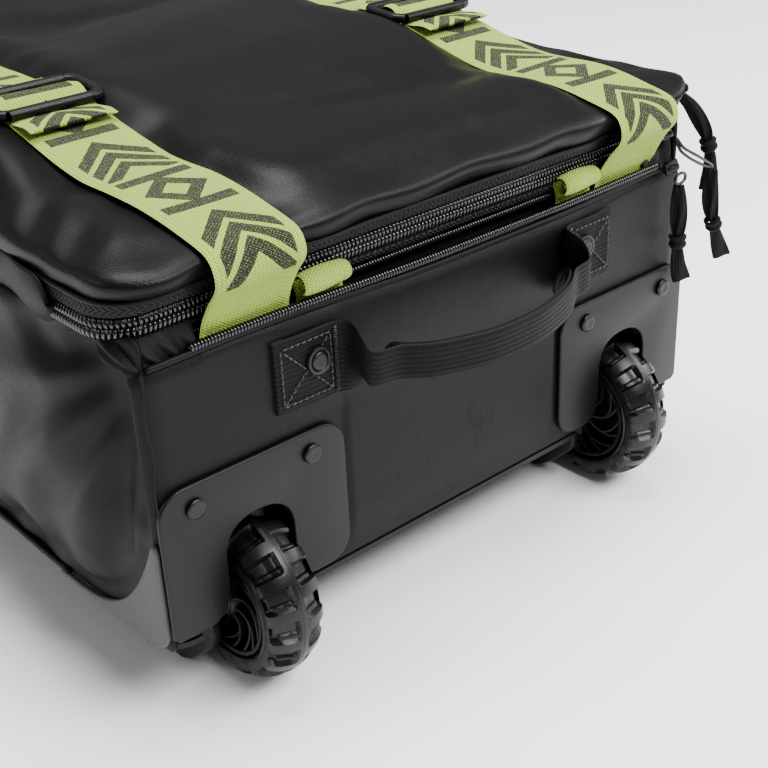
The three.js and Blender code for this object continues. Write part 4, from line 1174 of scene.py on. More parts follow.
def stitches(name, path, out):
    """A run of separate thread stitches along a path, each a flat arch that dips at its ends."""
    length, gap, radius = 2.6, 1.3, 0.32
    path = np.asarray(path, float)
    run = lengths(path)
    out = unit(np.asarray(out, float))
    build = Build()
    section = oval(radius, radius, 5)
    at = 0.0
    while at + length < run[-1]:
        s = np.linspace(at, at + length, 5)
        line = at_lengths(path, run, s)
        rise = np.array([-0.25, 0.2, 0.32, 0.2, -0.25])[:, None]
        side = np.cross(line[-1] - line[0], out)
        swept(build, line + out * rise, side, section)
        at += length + gap
    settle(build.done(name, THREAD), "shell")


def plate_outline(side):
    """A kick plate's edge as (x, z): rounded corners and the wheel opening from below."""
    x0, x1 = PLATE_LOW[0], PLATE_HIGH[0]
    z0, z1 = PLATE_LOW[2], PLATE_HIGH[2]
    radius = 14

    def arc(cx, cz, start, end):
        return [(cx + radius * math.cos(a), cz + radius * math.sin(a))
                for a in np.radians(np.linspace(start, end, 9))]

    arch = [(x, max(z, z0)) for x, z in arch_line(1, 0, 10)]
    points = arc(x0 + radius, z0 + radius, 180, 262) + [(arch[0][0] - 0.5, z0)]
    points += arch[1:-1] + [(arch[-1][0] + 0.4, z0)]
    points += [(x1 - 3, z0), (x1, z0 + 3)]
    points += arc(x1 - radius, z1 - radius, 0, 90) + arc(x0 + radius, z1 - radius, 90, 180)
    return [(side * x, z) for x, z in points]


def build_plates():
    face_y = PLATE_LOW[1]
    for name, side in SIDES.items():
        build = Build()
        outline = plate_outline(side)
        slab(build, outline, face_y - 0.2, PLATE_HIGH[1], "y", bevel=1.1, steps=4)
        plate = shade(build.done(f"kick_plate_{name}_moulding", TPU))
        settle(plate, "shell", f"kick_plate_{name}")
        for place in ("outer", "inner"):
            node = f"plate_rivet_{name}_{place}"
            build_rivet(node, f"{node}_head", 5.0, washer=False)


def build_rivet(node, name, radius, washer):
    """A semi-tubular rivet: a low dome with a rolled rim and a shallow dimple, and a washer."""
    low, high = cad_box(node)
    x, z = (low[0] + high[0]) / 2, (low[2] + high[2]) / 2
    face = low[1] - (2.4 if washer else 0.4)
    build = Build()
    profile = [(face + 0.25, 0.01), (face + 0.22, radius * 0.35), (face + 0.02, radius * 0.62),
               (face + 0.12, radius * 0.82), (face + 0.55, radius * 0.96), (face + 1.1, radius),
               (face + 1.9, radius * 0.98), (face + 1.9, 2.0), (high[1], 2.0), (high[1], 0.01)]
    lathe(build, profile, "y", (x, 0, z), 36)
    if washer:
        ring = [(face + 1.0, radius + 0.2), (face + 0.6, radius + 0.8), (face + 0.8, radius + 2.0),
                (face + 1.9, radius + 2.3), (face + 1.9, radius + 0.2), (face + 1.0, radius + 0.2)]
        lathe(build, ring, "y", (x, 0, z), 36)
    piece = shade(build.done(name, BLACKENED))
    settle(piece, "shell", node)


def build_guards():
    """Moulded corner guards: a plate on the side with a concave edge that climbs the corner."""
    for name in SIDES:
        low, high = cad_box(f"corner_guard_{name}")
        edge = [(FRONT_Y + s, guard_edge(s)) for s in np.linspace(4, 4 + GUARD_LENGTH, 40)]
        radius = 15
        foot = [(FRONT_Y + 0.6 + radius - radius * math.sin(a),
                 low[2] + 2.5 + radius - radius * math.cos(a))
                for a in np.radians(np.linspace(0, 90, 10))]
        outline = foot + [(FRONT_Y + 0.6, GUARD_TOP - 4), (FRONT_Y + 1.8, GUARD_TOP - 0.8)] \
            + edge + [(edge[-1][0] + 3, low[2] + 1.6), (edge[-1][0] + 1, low[2])]
        build = Build()
        slab(build, outline, low[0], high[0], "x", bevel=1.2, steps=4)
        guard = shade(build.done(f"corner_guard_{name}_moulding", GUARD))
        settle(guard, "shell", f"corner_guard_{name}")


# ------------------------------------------------------------------ wheels
POCKETS = 16
POCKET_DEPTH = 4.2
# The tyre's side from its bead up: how far inside the width, and how far above the bore.
BEAD = ((1.6, 0), (0.3, 0.8), (-0.2, 2.0), (0.5, 2.6), (0.1, 4.4), (-0.1, 7.0))


def tread(angle, t):
    """Tyre radius by angle and by t across the tread from -1 to 1.

    Cupped pockets alternate on either side of a ribbed middle, and notches cut the shoulders.
    """
    base = WHEEL_RADIUS - 4.6 * t**2 - 1.2 * t**6
    carved = np.zeros(np.broadcast(angle, t).shape)
    for half, phase in ((1, 0.0), (-1, 0.5)):
        turn = (angle / (2 * math.pi) * POCKETS + phase) % 1.0
        away = np.abs(turn - 0.5)
        across = t * half
        length = 1 - smoothstep(away, 0.26, 0.32)
        width = smoothstep(across, 0.13, 0.22)
        step = smoothstep(turn, 0.60, 0.64) * (across < 0.8)
        floor = 1 - 0.42 * step - 0.25 * (1 - smoothstep(across, 0.22, 0.5))
        carved = np.maximum(carved, POCKET_DEPTH * length * width * floor)
        notch = smoothstep(across, 0.8, 0.88) * (1 - smoothstep(away, 0.12, 0.16))
        carved = np.maximum(carved, (POCKET_DEPTH + 1.4) * notch)
    groove = -0.35 * (1 - smoothstep(np.abs(t), 0.008, 0.02))
    return base - carved - groove


def build_tyre(name, side):
    around = 384
    angle = np.linspace(0, 2 * math.pi, around, endpoint=False)
    t = np.concatenate([np.linspace(-1, -0.72, 8), np.linspace(-0.7, 0.7, 50),
                        np.linspace(0.72, 1, 8)])
    x = t * WHEEL_HALF_WIDTH
    radius = tread(angle[None, :], t[:, None])
    bore = RIM_RADIUS + 0.3
    rings = [(-WHEEL_HALF_WIDTH + inward, bore + rise) for inward, rise in BEAD]
    rings += list(zip(x, radius))
    rings += [(WHEEL_HALF_WIDTH - inward, bore + rise) for inward, rise in BEAD[::-1]]
    rows = [np.column_stack([np.full(around, place), np.broadcast_to(reach, around)])
            for place, reach in rings]
    grid = np.array(rows)
    cosine, sine = np.cos(angle), np.sin(angle)
    points = np.stack([side * WHEEL_X + grid[:, :, 0],
                       WHEEL_Y + grid[:, :, 1] * cosine, WHEEL_Z + grid[:, :, 1] * sine], 2)
    faces = grid_faces(len(rows), around, wrap=True, flip=True)
    last = (len(rows) - 1) * around
    for i in range(around):
        j = (i + 1) % around
        faces.append((last + i, i, j, last + j)[::-1])
    tyre = make(f"tyre_{name}_tread", points.reshape(-1, 3), faces, RUBBER)
    shade(tyre, 42)
    settle(tyre, f"wheel_{name}", f"tyre_{name}")


def build_rim(name, side):
    """A turned rim with a dished face of thin swept spokes, each forking near the ring."""
    x, w = side * WHEEL_X, WHEEL_HALF_WIDTH
    centre = (0, WHEEL_Y, WHEEL_Z)
    build = Build()
    inner = RIM_RADIUS - 3.2
    ring = [(x - w + 0.8, inner + 0.8), (x - w + 0.4, inner + 1.6),
            (x - w + 0.4, RIM_RADIUS - 0.6), (x - w + 1.2, RIM_RADIUS),
            (x + w - 1.2, RIM_RADIUS), (x + w - 0.4, RIM_RADIUS - 0.6),
            (x + w - 0.4, inner + 1.6), (x + w - 0.8, inner + 0.8),
            (x + 3, inner), (x - 3, inner), (x - w + 0.8, inner + 0.8)]
    lathe(build, ring, "x", centre, 96)
    hub = [(x - w + 0.4, 4.5), (x - w, 5.2), (x - w, 7.2), (x - w + 1, 8), (x + w - 1, 8),
           (x + w, 7.2), (x + w, 5.2), (x + w - 0.4, 4.5), (x - w + 0.4, 4.5)]
    lathe(build, hub, "x", centre, 48)
    web = [(x - 1.2, 7.6), (x - 1.2, inner + 0.6), (x + 1.2, inner + 0.6), (x + 1.2, 7.6),
           (x - 1.2, 7.6)]
    lathe(build, web, "x", centre, 64)
    spokes = 9
    for face in (-1, 1):
        for k in range(spokes):
            start = 2 * math.pi * (k + 0.25 * face) / spokes
            for fork in (0, 1):
                line = []
                for q in np.linspace(0, 1, 12):
                    radius = 7.2 + (inner + 1.0 - 7.2) * q
                    split = smoothstep(q, 0.36, 1.0) * 0.34 * fork
                    turn = start + face * side * (0.62 * q**1.35 + split)
                    depth = x + face * (w - 3.6 - 3.2 * q * (1 - q) * 2)
                    line.append((depth, WHEEL_Y + radius * math.cos(turn),
                                 WHEEL_Z + radius * math.sin(turn)))
                if fork:
                    line = line[4:]
                swept(build, line, (1, 0, 0), rounded_outline(-2.4, -0.85, 2.4, 0.85, 0.5, 2))
    rim = shade(build.done(f"rim_{name}_spokes", RIM))
    settle(rim, f"wheel_{name}", f"rim_{name}")


def build_axle_cap(name, side):
    """A low domed cap on each end of the axle."""
    x, w, centre = side * WHEEL_X, WHEEL_HALF_WIDTH, (0, WHEEL_Y, WHEEL_Z)
    cap = Build()
    for face in (-1, 1):
        x0 = x + face * (w - 0.2)
        profile = [(x0, 6.0), (x0 + face * 0.8, 5.6), (x0 + face * 1.3, 3.4),
                   (x0 + face * 0.9, 2.0), (x0 + face * 0.9, 0.01)]
        if face < 0:
            profile = profile[::-1]
        lathe(cap, profile, "x", centre, 32)
    piece = shade(cap.done(f"axle_cap_{name}", STEEL))
    settle(piece, "shell")


# ------------------------------------------------------------------ wheel housings and runners
def build_housings():
    """An arched hood over each wheel, with a cheek on either side and ridges across its back."""
    for name in SIDES:
        low, high = cad_box(f"wheel_housing_{name}")
        front, radius = low[1] + 0.3, high[1] - WHEEL_Y
        outer, inner = (
            [(WHEEL_Y + r, low[2])]
            + [(WHEEL_Y + r * math.cos(a), WHEEL_Z + r * math.sin(a))
               for a in np.linspace(0, math.pi / 2, 20)]
            + [(front, WHEEL_Z + r)] for r in (radius, radius - 3))
        shell_line = outer + inner[::-1]
        build = Build()
        slab(build, shell_line, low[0] + 0.4, high[0] - 0.4, "x", bevel=0.8, steps=2)
        cheek = [(front, low[2])] + outer
        slab(build, cheek, low[0], low[0] + 3, "x", bevel=0.8, steps=2)
        slab(build, cheek, high[0] - 3, high[0], "x", bevel=0.8, steps=2)
        for angle in np.radians((12, 36, 60, 84)):
            ridge = [(x, WHEEL_Y + (radius + 0.4) * math.cos(angle),
                      WHEEL_Z + (radius + 0.4) * math.sin(angle))
                     for x in np.linspace(low[0] + 5, high[0] - 5, 8)]
            swept(build, ridge, (0, math.cos(angle), math.sin(angle)),
                  rounded_outline(-0.6, -1.2, 0.9, 1.2, 0.4, 2))
        housing = shade(build.done(f"wheel_housing_{name}_moulding", PLASTIC))
        settle(housing, "shell", f"wheel_housing_{name}")


def build_fork(name, side):
    """Two tapering blades beside the wheel, joined behind it."""
    low, high = cad_box(f"skid_fork_{name}")
    top, end = high[2], high[1]
    slot_end = end - 14
    toe = quadratic((low[1] + 12, top - 12), (low[1] + 33, 2), (low[1] + 42, 0), 10)
    blade = [tuple(p) for p in toe] + [(end - 0.2, 0), (end - 0.2, top),
                                       (low[1] + 12, top), (low[1] + 10.5, top - 4)]
    inner_x, outer_x = sorted((side * 109, side * 147.5))
    build = Build()
    slab(build, blade, low[0], inner_x, "x", bevel=1.6, steps=3)
    slab(build, blade, outer_x, high[0], "x", bevel=1.6, steps=3)
    bridge = [(slot_end, 1.2), (slot_end + 1.5, 0), (end, 0), (end, top), (slot_end, top)]
    slab(build, bridge, inner_x - 0.4, outer_x + 0.4, "x", bevel=0.8, steps=2)
    fork = shade(build.done(f"skid_fork_{name}_moulding", PLASTIC))
    settle(fork, "shell", f"skid_fork_{name}")


def build_rail(name):
    """The ribbed runner behind a fork: two walls, a floor, a nose at its end and ribs."""
    low, high = cad_box(f"skid_rail_{name}")
    start, end, top = low[1], high[1], cad_box(f"skid_fork_{name}")[1][2]
    inner = (low[0] + 3.2, high[0] - 3.2)
    build = Build()
    tail = quadratic((end - 18, 0.2), (end - 12, 3), (end, top), 8)
    hollow = quadratic((end - 15, top - 20), (end - 18, 6), (end - 26, 4), 6)
    rail = [(start, 0), (end - 20, 0), *tail, (start, top)]
    for near, far in ((low[0], low[0] + 3.5), (high[0] - 3.5, high[0])):
        slab(build, rail, near, far, "x", bevel=1.0, steps=3)
    slab(build, box_outline(start, 0.1, end - 24, 4), *inner, "x", bevel=0.6, steps=2)
    nose = [(end - 26, 0.1), *tail, (end - 5, top), *hollow]
    slab(build, nose, *inner, "x", bevel=0.6, steps=2)
    for y in np.arange(start + 30, end - 40, 42):
        slab(build, box_outline(y - 1, 3.8, y + 1, top - 1), *inner, "x", bevel=0.4, steps=2)
    for y in np.arange(start + 10, end - 30, 9):
        for x in (low[0] - 0.25, high[0] - 0.55):
            slab(build, box_outline(y - 1.2, 3, y + 1.2, 8), x, x + 0.8, "x", bevel=0.3,
                 steps=2)
    piece = shade(build.done(f"skid_rail_{name}_moulding", PLASTIC))
    settle(piece, "shell", f"skid_rail_{name}")


# ------------------------------------------------------------------ rear end
BEZEL_GAP_HALF, BEZEL_GAP_TOP_Z = 92, 78.0


def build_rear():
    """The rear panel: cloth around the pull handle's bezel, with a rolled rim."""
    low, high = REAR_LOW, REAR_HIGH
    half = high[0]
    step = 0.05
    xs = np.array(sorted(list(np.linspace(-half, half, 121))
                         + [side * BEZEL_GAP_HALF + d for side in (-1, 1) for d in (-step, step)]))
    floor = np.where(np.abs(xs) < BEZEL_GAP_HALF, BEZEL_GAP_TOP_Z, low[2])
    rows = 26
    t = np.linspace(0, 1, rows)
    z = floor[None, :] + (high[2] - floor)[None, :] * t[:, None]
    x = np.broadcast_to(xs, z.shape)
    bulge = 2.2 * (1 - smoothstep(np.abs(x), 90, 170)) * smoothstep(z, 84, 118) \
        * (1 - smoothstep(z, 150, high[2]))
    creases = 0.7 * np.sin(x / 23 + z / 31) * smoothstep(z, 84, 110)
    y = REAR_Y + bulge + creases * 0.6 - 2.2 * smoothstep(np.abs(x), half - 5, half)
    face = np.stack([x, y, z], 2)
    back = np.stack([x, np.full(z.shape, low[1] + 0.2), z], 2)
    count, columns = z.size, len(xs)
    faces = grid_faces(rows, columns, flip=True) + grid_faces(rows, columns, start=count)
    faces += rim_faces(rows, columns, count, flip=True)
    uv = np.vstack([face[:, :, [0, 2]].reshape(-1, 2)] * 2) * MM
    panel = shade(make("rear_cloth", np.vstack([face.reshape(-1, 3), back.reshape(-1, 3)]),
                       faces, COATED, uv), 50)
    settle(panel, "shell", "rear_panel")


def build_body_piping():
    """Piping up the rear corners and along the foot of both sides."""
    trim = Build()
    low, high, half = REAR_LOW, REAR_HIGH, REAR_HIGH[0]
    section = oval(1.7, 1.9, 11)
    for side in SIDES.values():
        edge = [(side * (half + 0.4), REAR_Y - 2.6, v)
                for v in np.linspace(low[2], high[2] + 6, 40)]
        swept(trim, edge, (1, 0, 0), section)
        foot = [(side * 180.2, v, 40 + 0.4 * math.sin(v / 19)) for v in
                np.linspace(FRONT_Y + GUARD_LENGTH, REAR_Y - 5, 90)]
        swept(trim, foot, (1, 0, 0), section)
    piece = trim.done("body_piping", COATED)
    settle(piece, "shell")


def build_bezel():
    """The pull handle's bezel, recessed for the grip, with two screws at either end."""
    low, high = cad_box("trolley_bezel")
    build = Build()
    outline = rounded_outline(low[0], low[2], high[0], high[2], 9, 10)
    mouth = rounded_outline(-84, 43, 84, 69, 7, 10)
    rings = []
    for line, level in ((outline, low[1]), (outline, high[1] - 1.6),
                        (inset(outline, 0.5), high[1] - 0.5), (inset(outline, 1.6), high[1]),
                        (inset(mouth, -1.4), high[1]), (inset(mouth, -0.4), high[1] - 0.4),
                        (mouth, high[1] - 1.4), (mouth, REAR_Y - 9)):
        rings.append([(x, level, z) for x, z in line])
    count = len(outline)
    faces = grid_faces(len(rings), count, wrap=True)
    last = (len(rings) - 1) * count
    faces.append(tuple(last + i for i in range(count)))
    faces.append(tuple(reversed(range(count))))
    build.add(np.array(rings).reshape(-1, 3), faces)
    for side in SIDES.values():
        for z in (50, 62):
            lathe(build, [(high[1] - 0.5, 0.01), (high[1] + 0.5, 0.02), (high[1] + 0.4, 1.9),
                          (high[1] - 0.3, 2.3)], "y", (side * 88, 0, z), 20)
    bezel = shade(build.done("pull_handle_bezel", PLASTIC))
    settle(bezel, "shell", "trolley_bezel")


def build_grip():
    """The grip, ribbed at both ends and framed around its button."""
    low, high = cad_box("trolley_grip")
    build = Build()
    slab(build, rounded_outline(low[0], low[2], high[0], high[2], 7, 10), low[1], high[1], "y",
         bevel=3.2, steps=6)
    for x in np.arange(-70, 71, 5.0):
        if abs(x) > 22:
            slab(build, box_outline(x - 0.9, low[2] + 5, x + 0.9, high[2] - 5),
                 high[1] - 0.6, high[1] + 0.35, "y", bevel=0.35, steps=2)
    for x, z, w, h in ((0, 50.2, 17.5, 1.2), (0, 61.8, 17.5, 1.2), (-16.6, 56, 1.2, 7),
                       (16.6, 56, 1.2, 7)):
        slab(build, rounded_outline(x - w, z - h, x + w, z + h, 0.6, 3), high[1] - 1,
             high[1] + 0.7, "y", bevel=0.5, steps=2)
    grip = shade(build.done("pull_handle_grip", PLASTIC))
    settle(grip, "pull_handle", "trolley_grip")


def build_button():
    low, high = cad_box("trolley_button")
    build = Build()
    slab(build, rounded_outline(low[0], low[2], high[0], high[2], 3.4, 8), low[1], high[1], "y",
         bevel=1.0, steps=4)
    for x in (-9, -6, -3, 0, 3, 6, 9):
        slab(build, rounded_outline(x - 0.6, low[2] + 2.5, x + 0.6, high[2] - 2.5, 0.4, 2),
             high[1] - 0.4, high[1] + 0.4, "y", bevel=0.25, steps=2)
    button = shade(build.done("pull_handle_button", GUARD))
    settle(button, "release_button", "trolley_button")


def build_tubes():
    """Drawn tubes, each with two raised ribs along its top."""
    for name in SIDES:
        for node, body in ((f"trolley_inner_tube_{name}", "pull_handle"),
                           (f"trolley_outer_tube_{name}", "shell")):
            low, high = cad_box(node)
            build = Build()
            line = rounded_outline(low[0], low[2], high[0], high[2], 4, 6)
            slab(build, line, low[1], high[1], "y", bevel=0.6, steps=2)
            for shift in (-0.25, 0.25):
                rib = [((low[0] + high[0]) / 2 + shift * (high[0] - low[0]), v, high[2] - 0.1)
                       for v in np.linspace(low[1] + 4, high[1] - 4, 6)]
                swept(build, rib, (1, 0, 0), rounded_outline(-0.7, -0.35, 0.7, 0.35, 0.25, 2))
            piece = shade(build.done(f"{node}_drawn", ALUMINIUM))
            settle(piece, body, node)


def inset(outline, distance):
    """An outline moved inwards by a distance."""
    p = np.asarray(outline, float)
    edge = unit(np.roll(p, -1, 0) - np.roll(p, 1, 0))
    return p + np.stack([-edge[:, 1], edge[:, 0]], 1) * distance


# ------------------------------------------------------------------ zips
def zip_route(step=1.0):
    """Points along the main zip's outer edge and the outward normals, from hinge end to end."""
    x, front, rear = ZIP_HALF_X - ZIP_CORNER, ZIP_FRONT_Y + ZIP_CORNER, REAR_Y - ZIP_CORNER
    points, normals = [], []

    def straight(a, b, normal):
        count = int(math.dist(a, b) / step)
        for t in np.linspace(0, 1, count, endpoint=False):
            points.append((a[0] + (b[0] - a[0]) * t, a[1] + (b[1] - a[1]) * t))
            normals.append(normal)

    def corner(cx, cy, start):
        for angle in start + np.linspace(0, math.pi / 2, int(ZIP_CORNER * 1.57 / step),
                                         endpoint=False):
            normals.append((math.cos(angle), math.sin(angle)))
            points.append((cx + ZIP_CORNER * normals[-1][0], cy + ZIP_CORNER * normals[-1][1]))

    straight((-ZIP_HALF_X, FRONT_Y + ZIP_END_Y), (-ZIP_HALF_X, front), (-1, 0))
    corner(-x, front, math.pi)
    straight((-x, ZIP_FRONT_Y), (x, ZIP_FRONT_Y), (0, -1))
    corner(x, front, 1.5 * math.pi)
    straight((ZIP_HALF_X, front), (ZIP_HALF_X, rear), (1, 0))
    corner(x, rear, 0)
    straight((x, REAR_Y), (-x, REAR_Y), (0, 1))
    corner(-x, rear, math.pi / 2)
    straight((-ZIP_HALF_X, rear), (-ZIP_HALF_X, REAR_Y - ZIP_END_Y), (-1, 0))
    points, normals = np.array(points), np.array(normals)
    height = zip_rise(points[:, 0])
    return (np.column_stack([points, height]),
            np.column_stack([normals, np.zeros(len(normals))]))


def teeth(build, path, out, up, pitch, height, reach, phase=0.0, slant=0.0):
    """A coil's visible loops: one small arched bar at each pitch along the path.

    out and up give each bar's outward and lengthwise directions along the path.
    """
    run = lengths(path)
    at = np.arange(pitch * (0.5 + phase), run[-1] - pitch * 0.5, pitch)
    place = at_lengths(path, run, at)
    along = unit(at_lengths(path, run, at + 0.3) - place)
    out = unit(at_lengths(np.broadcast_to(out, path.shape), run, at))
    up = unit(at_lengths(np.broadcast_to(up, path.shape), run, at))
    line = np.array([(0.0, -0.2), (0.1, 0.55), (0.32, 0.95), (0.68, 0.95), (0.9, 0.55),
                     (1.0, -0.2)]) * (height, reach)
    tangent = unit(np.gradient(line, axis=0))
    normal = np.column_stack([-tangent[:, 1], tangent[:, 0]])
    ring = oval(0.36 * pitch, 0.42, 6)
    local = []
    for (u, o), n in zip(line, normal):
        for a, b in ring:
            local.append((a + slant * (u / height - 0.5), u + b * n[0], o + b * n[1]))
    local = np.array(local)
    points = (place[:, None] + along[:, None] * local[None, :, :1]
              + up[:, None] * local[None, :, 1:2] + out[:, None] * local[None, :, 2:])
    base = grid_faces(len(line), 6, wrap=True)
    faces = [tuple(i + k * len(local) for i in f) for k in range(len(at)) for f in base]
    build.add(points.reshape(-1, 3), faces)


def build_main_zip():
    """Each half of the main zip: a backing cord and its coil."""
    route, normal = zip_route()
    width = 3.2
    for label, body, z, phase, slant in (("lower", "shell", ZIP_Z, 0.0, 0.5),
                                         ("upper", "lid", ZIP_Z + 3.5, 0.5, -0.5)):
        build = Build()
        path = route + (0, 0, z + width / 2) - normal * 1.6
        swept(build, path[::3], (0, 0, 1),
              rounded_outline(-width / 2, -1.0, width / 2, 1.0, 0.5, 3))
        node = f"main_zip_{label}"
        backing = build.done(f"{node}_cord", COIL)
        settle(backing, body, node)
        build = Build()
        steep = np.cross(np.gradient(route, axis=0), normal)
        steep = unit(steep * np.sign(steep[:, 2:]))
        lean = unit(steep - normal * (0.35 if label == "upper" else 0.0))
        base = route + (0, 0, ZIP_Z + 3.3) + normal * 0.9
        base = base - lean * 5.0 if label == "lower" else base - lean * 0.1
        teeth(build, base, unit(normal + steep * 0.2), lean, 2.3, 5.1, 1.9, phase, slant)
        coil = build.done(f"{node}_coil", COIL)
        settle(coil, body)


def build_zip_tapes():
    """Herringbone tape over the lid's foot and under the lower coil."""
    route, normal = zip_route(2.5)
    parts = np.array(LID_WALL)
    rows = np.linspace(0, 1, 9)
    points, uv = [], []
    run = lengths(route)
    for r in rows:
        z = LID_Z + 1.4 + 7.6 * r
        part = np.interp(z, parts[:, 1], parts[:, 0])
        out = part * lid_swell(normal[:, 1]) + 1.3 + 0.5 * math.sin(math.pi * r)
        share = (z - LID_Z) / (LID_SHOULDER_Z - LID_Z)
        p = route + normal * out[:, None]
        dent = np.array([strap_dent(x) for x in p[:, 0]]) * min(r * 2, 1) \
            * smoothstep(np.abs(normal[:, 1]), 0.85, 1)
        p[:, 1] -= normal[:, 1] * dent
        p[:, 2] = z + zip_rise(p[:, 0]) * (1 - 0.7 * share)
        points.append(p)
        uv.append(np.column_stack([run, np.full(len(run), 9.5 * r)]) * MM)
    tape = make("main_zip_tape_upper", np.vstack(points), grid_faces(len(rows), len(route)),
                TAPE, np.vstack(uv))
    thicken(tape, 0.8)
    settle(tape, "lid")
    trim = Build()
    section = oval(1.1, 1.1, 8)
    swept(trim, points[-1] + normal * 0.3, (0, 0, 1), section)
    piping = trim.done("lid_piping", COATED)
    settle(piping, "lid")

    lower = []
    for r in rows:
        p = route - normal * (0.6 + 0.5 * r)
        p[:, 2] = route[:, 2] + ZIP_Z + 0.4 - 7 * r
        lower.append(p)
    tape = make("main_zip_tape_lower", np.vstack(lower[::-1]), grid_faces(len(rows), len(route)),
                TAPE, np.vstack(uv))
    thicken(tape, 0.7)
    settle(tape, "shell")


def build_strap_zip():
    """The strap pocket's open zip: a coil on the panel's edge and one above."""
    for label, direction in (("lower", -1), ("upper", 1)):
        node = f"strap_zip_{label}"
        low, high = cad_box(node)
        xs = np.linspace(low[0], high[0], 150)
        middle = np.column_stack([xs, np.full(len(xs), (low[1] + high[1]) / 2),
                                  np.full(len(xs), (low[2] + high[2]) / 2)])
        if direction < 0:
            middle[:, 2] -= panel_sag(xs) * 0.45
        build = Build()
        swept(build, middle, (0, 1, 0), rounded_outline(-1.6, -1.2, 1.6, 1.2, 0.7, 3))
        cord = build.done(f"{node}_tape", TAPE)
        settle(cord, "shell", node)
        build = Build()
        tilt = unit((0, -0.75, 0.66)) if direction < 0 else unit((0, -0.9, 0.44))
        lie = np.cross(tilt, (1, 0, 0)) * -1
        teeth(build, middle + tilt * 0.5 - lie * 1.7, tilt, lie, 1.7, 3.4, 1.4, 0, 0.4)
        coil = build.done(f"{node}_coil", COIL)
        settle(coil, "shell")


def build_pocket():
    """The strap pocket's cloth, which rolls over at its mouth, with a seam along the roll."""
    low, high = cad_box("strap_pocket_liner")
    line = [(low[1] + 4, low[2]), (low[1] + 4.2, 150), (low[1] + 3.9, 182), (low[1] + 1.6, 186.5),
            (low[1] - 0.6, 189.5), (low[1] - 1.6, 193), (low[1] - 1.2, high[2] + 0.6)]
    route = resample(np.array(line), 26)
    xs = np.linspace(low[0], high[0], 120)
    points = np.array([[(x, y + 0.5 * math.sin(x / 13) * (z > 184), z + 0.3 * math.sin(x / 17))
                        for x in xs] for y, z in route]).reshape(-1, 3)
    uv = np.array([[(x * MM, z * MM) for x in xs] for y, z in route]).reshape(-1, 2)
    liner = make("strap_pocket_cloth", points, grid_faces(len(route), len(xs)), LINING, uv)
    thicken(liner, 1.0)
    settle(liner, "shell", "strap_pocket_liner")
    seam = np.array([(x, low[1] - 1.9, 192.2 + 0.3 * math.sin(x / 17)) for x in xs])
    stitches("strap_pocket_stitches", seam, (0, -1, 0.2))


def build_gussets():
    """Pleated cloth that closes each front corner between the panel's edge and the main zip."""
    route, normal = zip_route(0.5)
    for name, side in SIDES.items():
        near = (route[:, 0] * side > 145) & (route[:, 1] < FRONT_Y + 26)
        upper, out = route[near], normal[near]
        if side > 0:
            upper, out = upper[::-1], out[::-1]
        keep = np.linspace(0, len(upper) - 1, 46).astype(int)
        upper, out = upper[keep], out[keep]
        t = np.linspace(0, 1, len(upper))
        x = side * (178.8 - 31 * np.clip((t - 0.12) / 0.88, 0, 1))
        lower = np.column_stack([x, FRONT_Y + 2.4 + 10 * np.clip(1 - t / 0.3, 0, 1) ** 2,
                                 PANEL_TOP_Z - 4 + 0 * t])
        rows = []
        steps = np.linspace(0, 1, 18)
        for r in steps:
            line = lower * (1 - r) + (upper - out * 0.6 + (0, 0, ZIP_Z - 0.5)) * r
            pleat = 1.3 * np.sin(t * 26 + 5 * r) * math.sin(math.pi * min(r * 1.1, 1))
            rows.append(line + out * (2.2 * math.sin(math.pi * r) + pleat)[:, None])
        points = np.vstack(rows)
        uv = np.array([(a * 0.045, b * 0.02) for b in steps for a in t])
        faces = grid_faces(len(steps), len(t), flip=side > 0)
        cloth = make(f"corner_gusset_{name}", points, faces, TWILL, uv)
        thicken(cloth, 1.0)
        settle(cloth, "shell")


def build_hinge_strip():
    """Cloth that joins the lid to the left side, with a rounded cap over each end of the zip."""
    cap, middle_z = 13, 202
    y0, y1 = FRONT_Y + ZIP_END_Y - cap, REAR_Y - ZIP_END_Y + cap
    line = [(-181.5, 189), (-184.2, 193.5), (-186, 197.5), (-187, 200.5), (-187.4, 203.5),
            (-187.4, 207), (-186.8, 211), (-185.6, 214.5)]
    route = resample(np.array(line), 19)
    ends = cap * np.sin(np.linspace(0, math.pi / 2, 14))
    ys = np.concatenate([y0 + cap - ends[::-1], np.linspace(y0 + cap, y1 - cap, 130)[1:-1],
                         y1 - cap + ends])
    points = []
    for x, z in route:
        for y in ys:
            end = min(y - y0, y1 - y)
            round_off = math.sqrt(max(1 - (1 - min(end / cap, 1)) ** 2, 0.01))
            swell = 2.7 * (1 - smoothstep(end, cap + 4, cap + 30))
            points.append((x - swell - 0.4 * math.sin(y / 11), y,
                           middle_z + (z - middle_z) * round_off))
    points = np.array(points)
    uv = np.array([[(y * MM, z * MM) for y in ys] for x, z in route]).reshape(-1, 2)
    strip = make("hinge_cloth", points, grid_faces(len(route), len(ys), flip=True), TWILL, uv)
    thicken(strip, 1.2)
    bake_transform(strip)


# ------------------------------------------------------------------ grab handles
HANDLE_WIDTH = 36


def from_ends(path):
    """How far along the path each of its points lies from the nearer end."""
    run = lengths(path)
    return np.minimum(run, run[-1] - run)


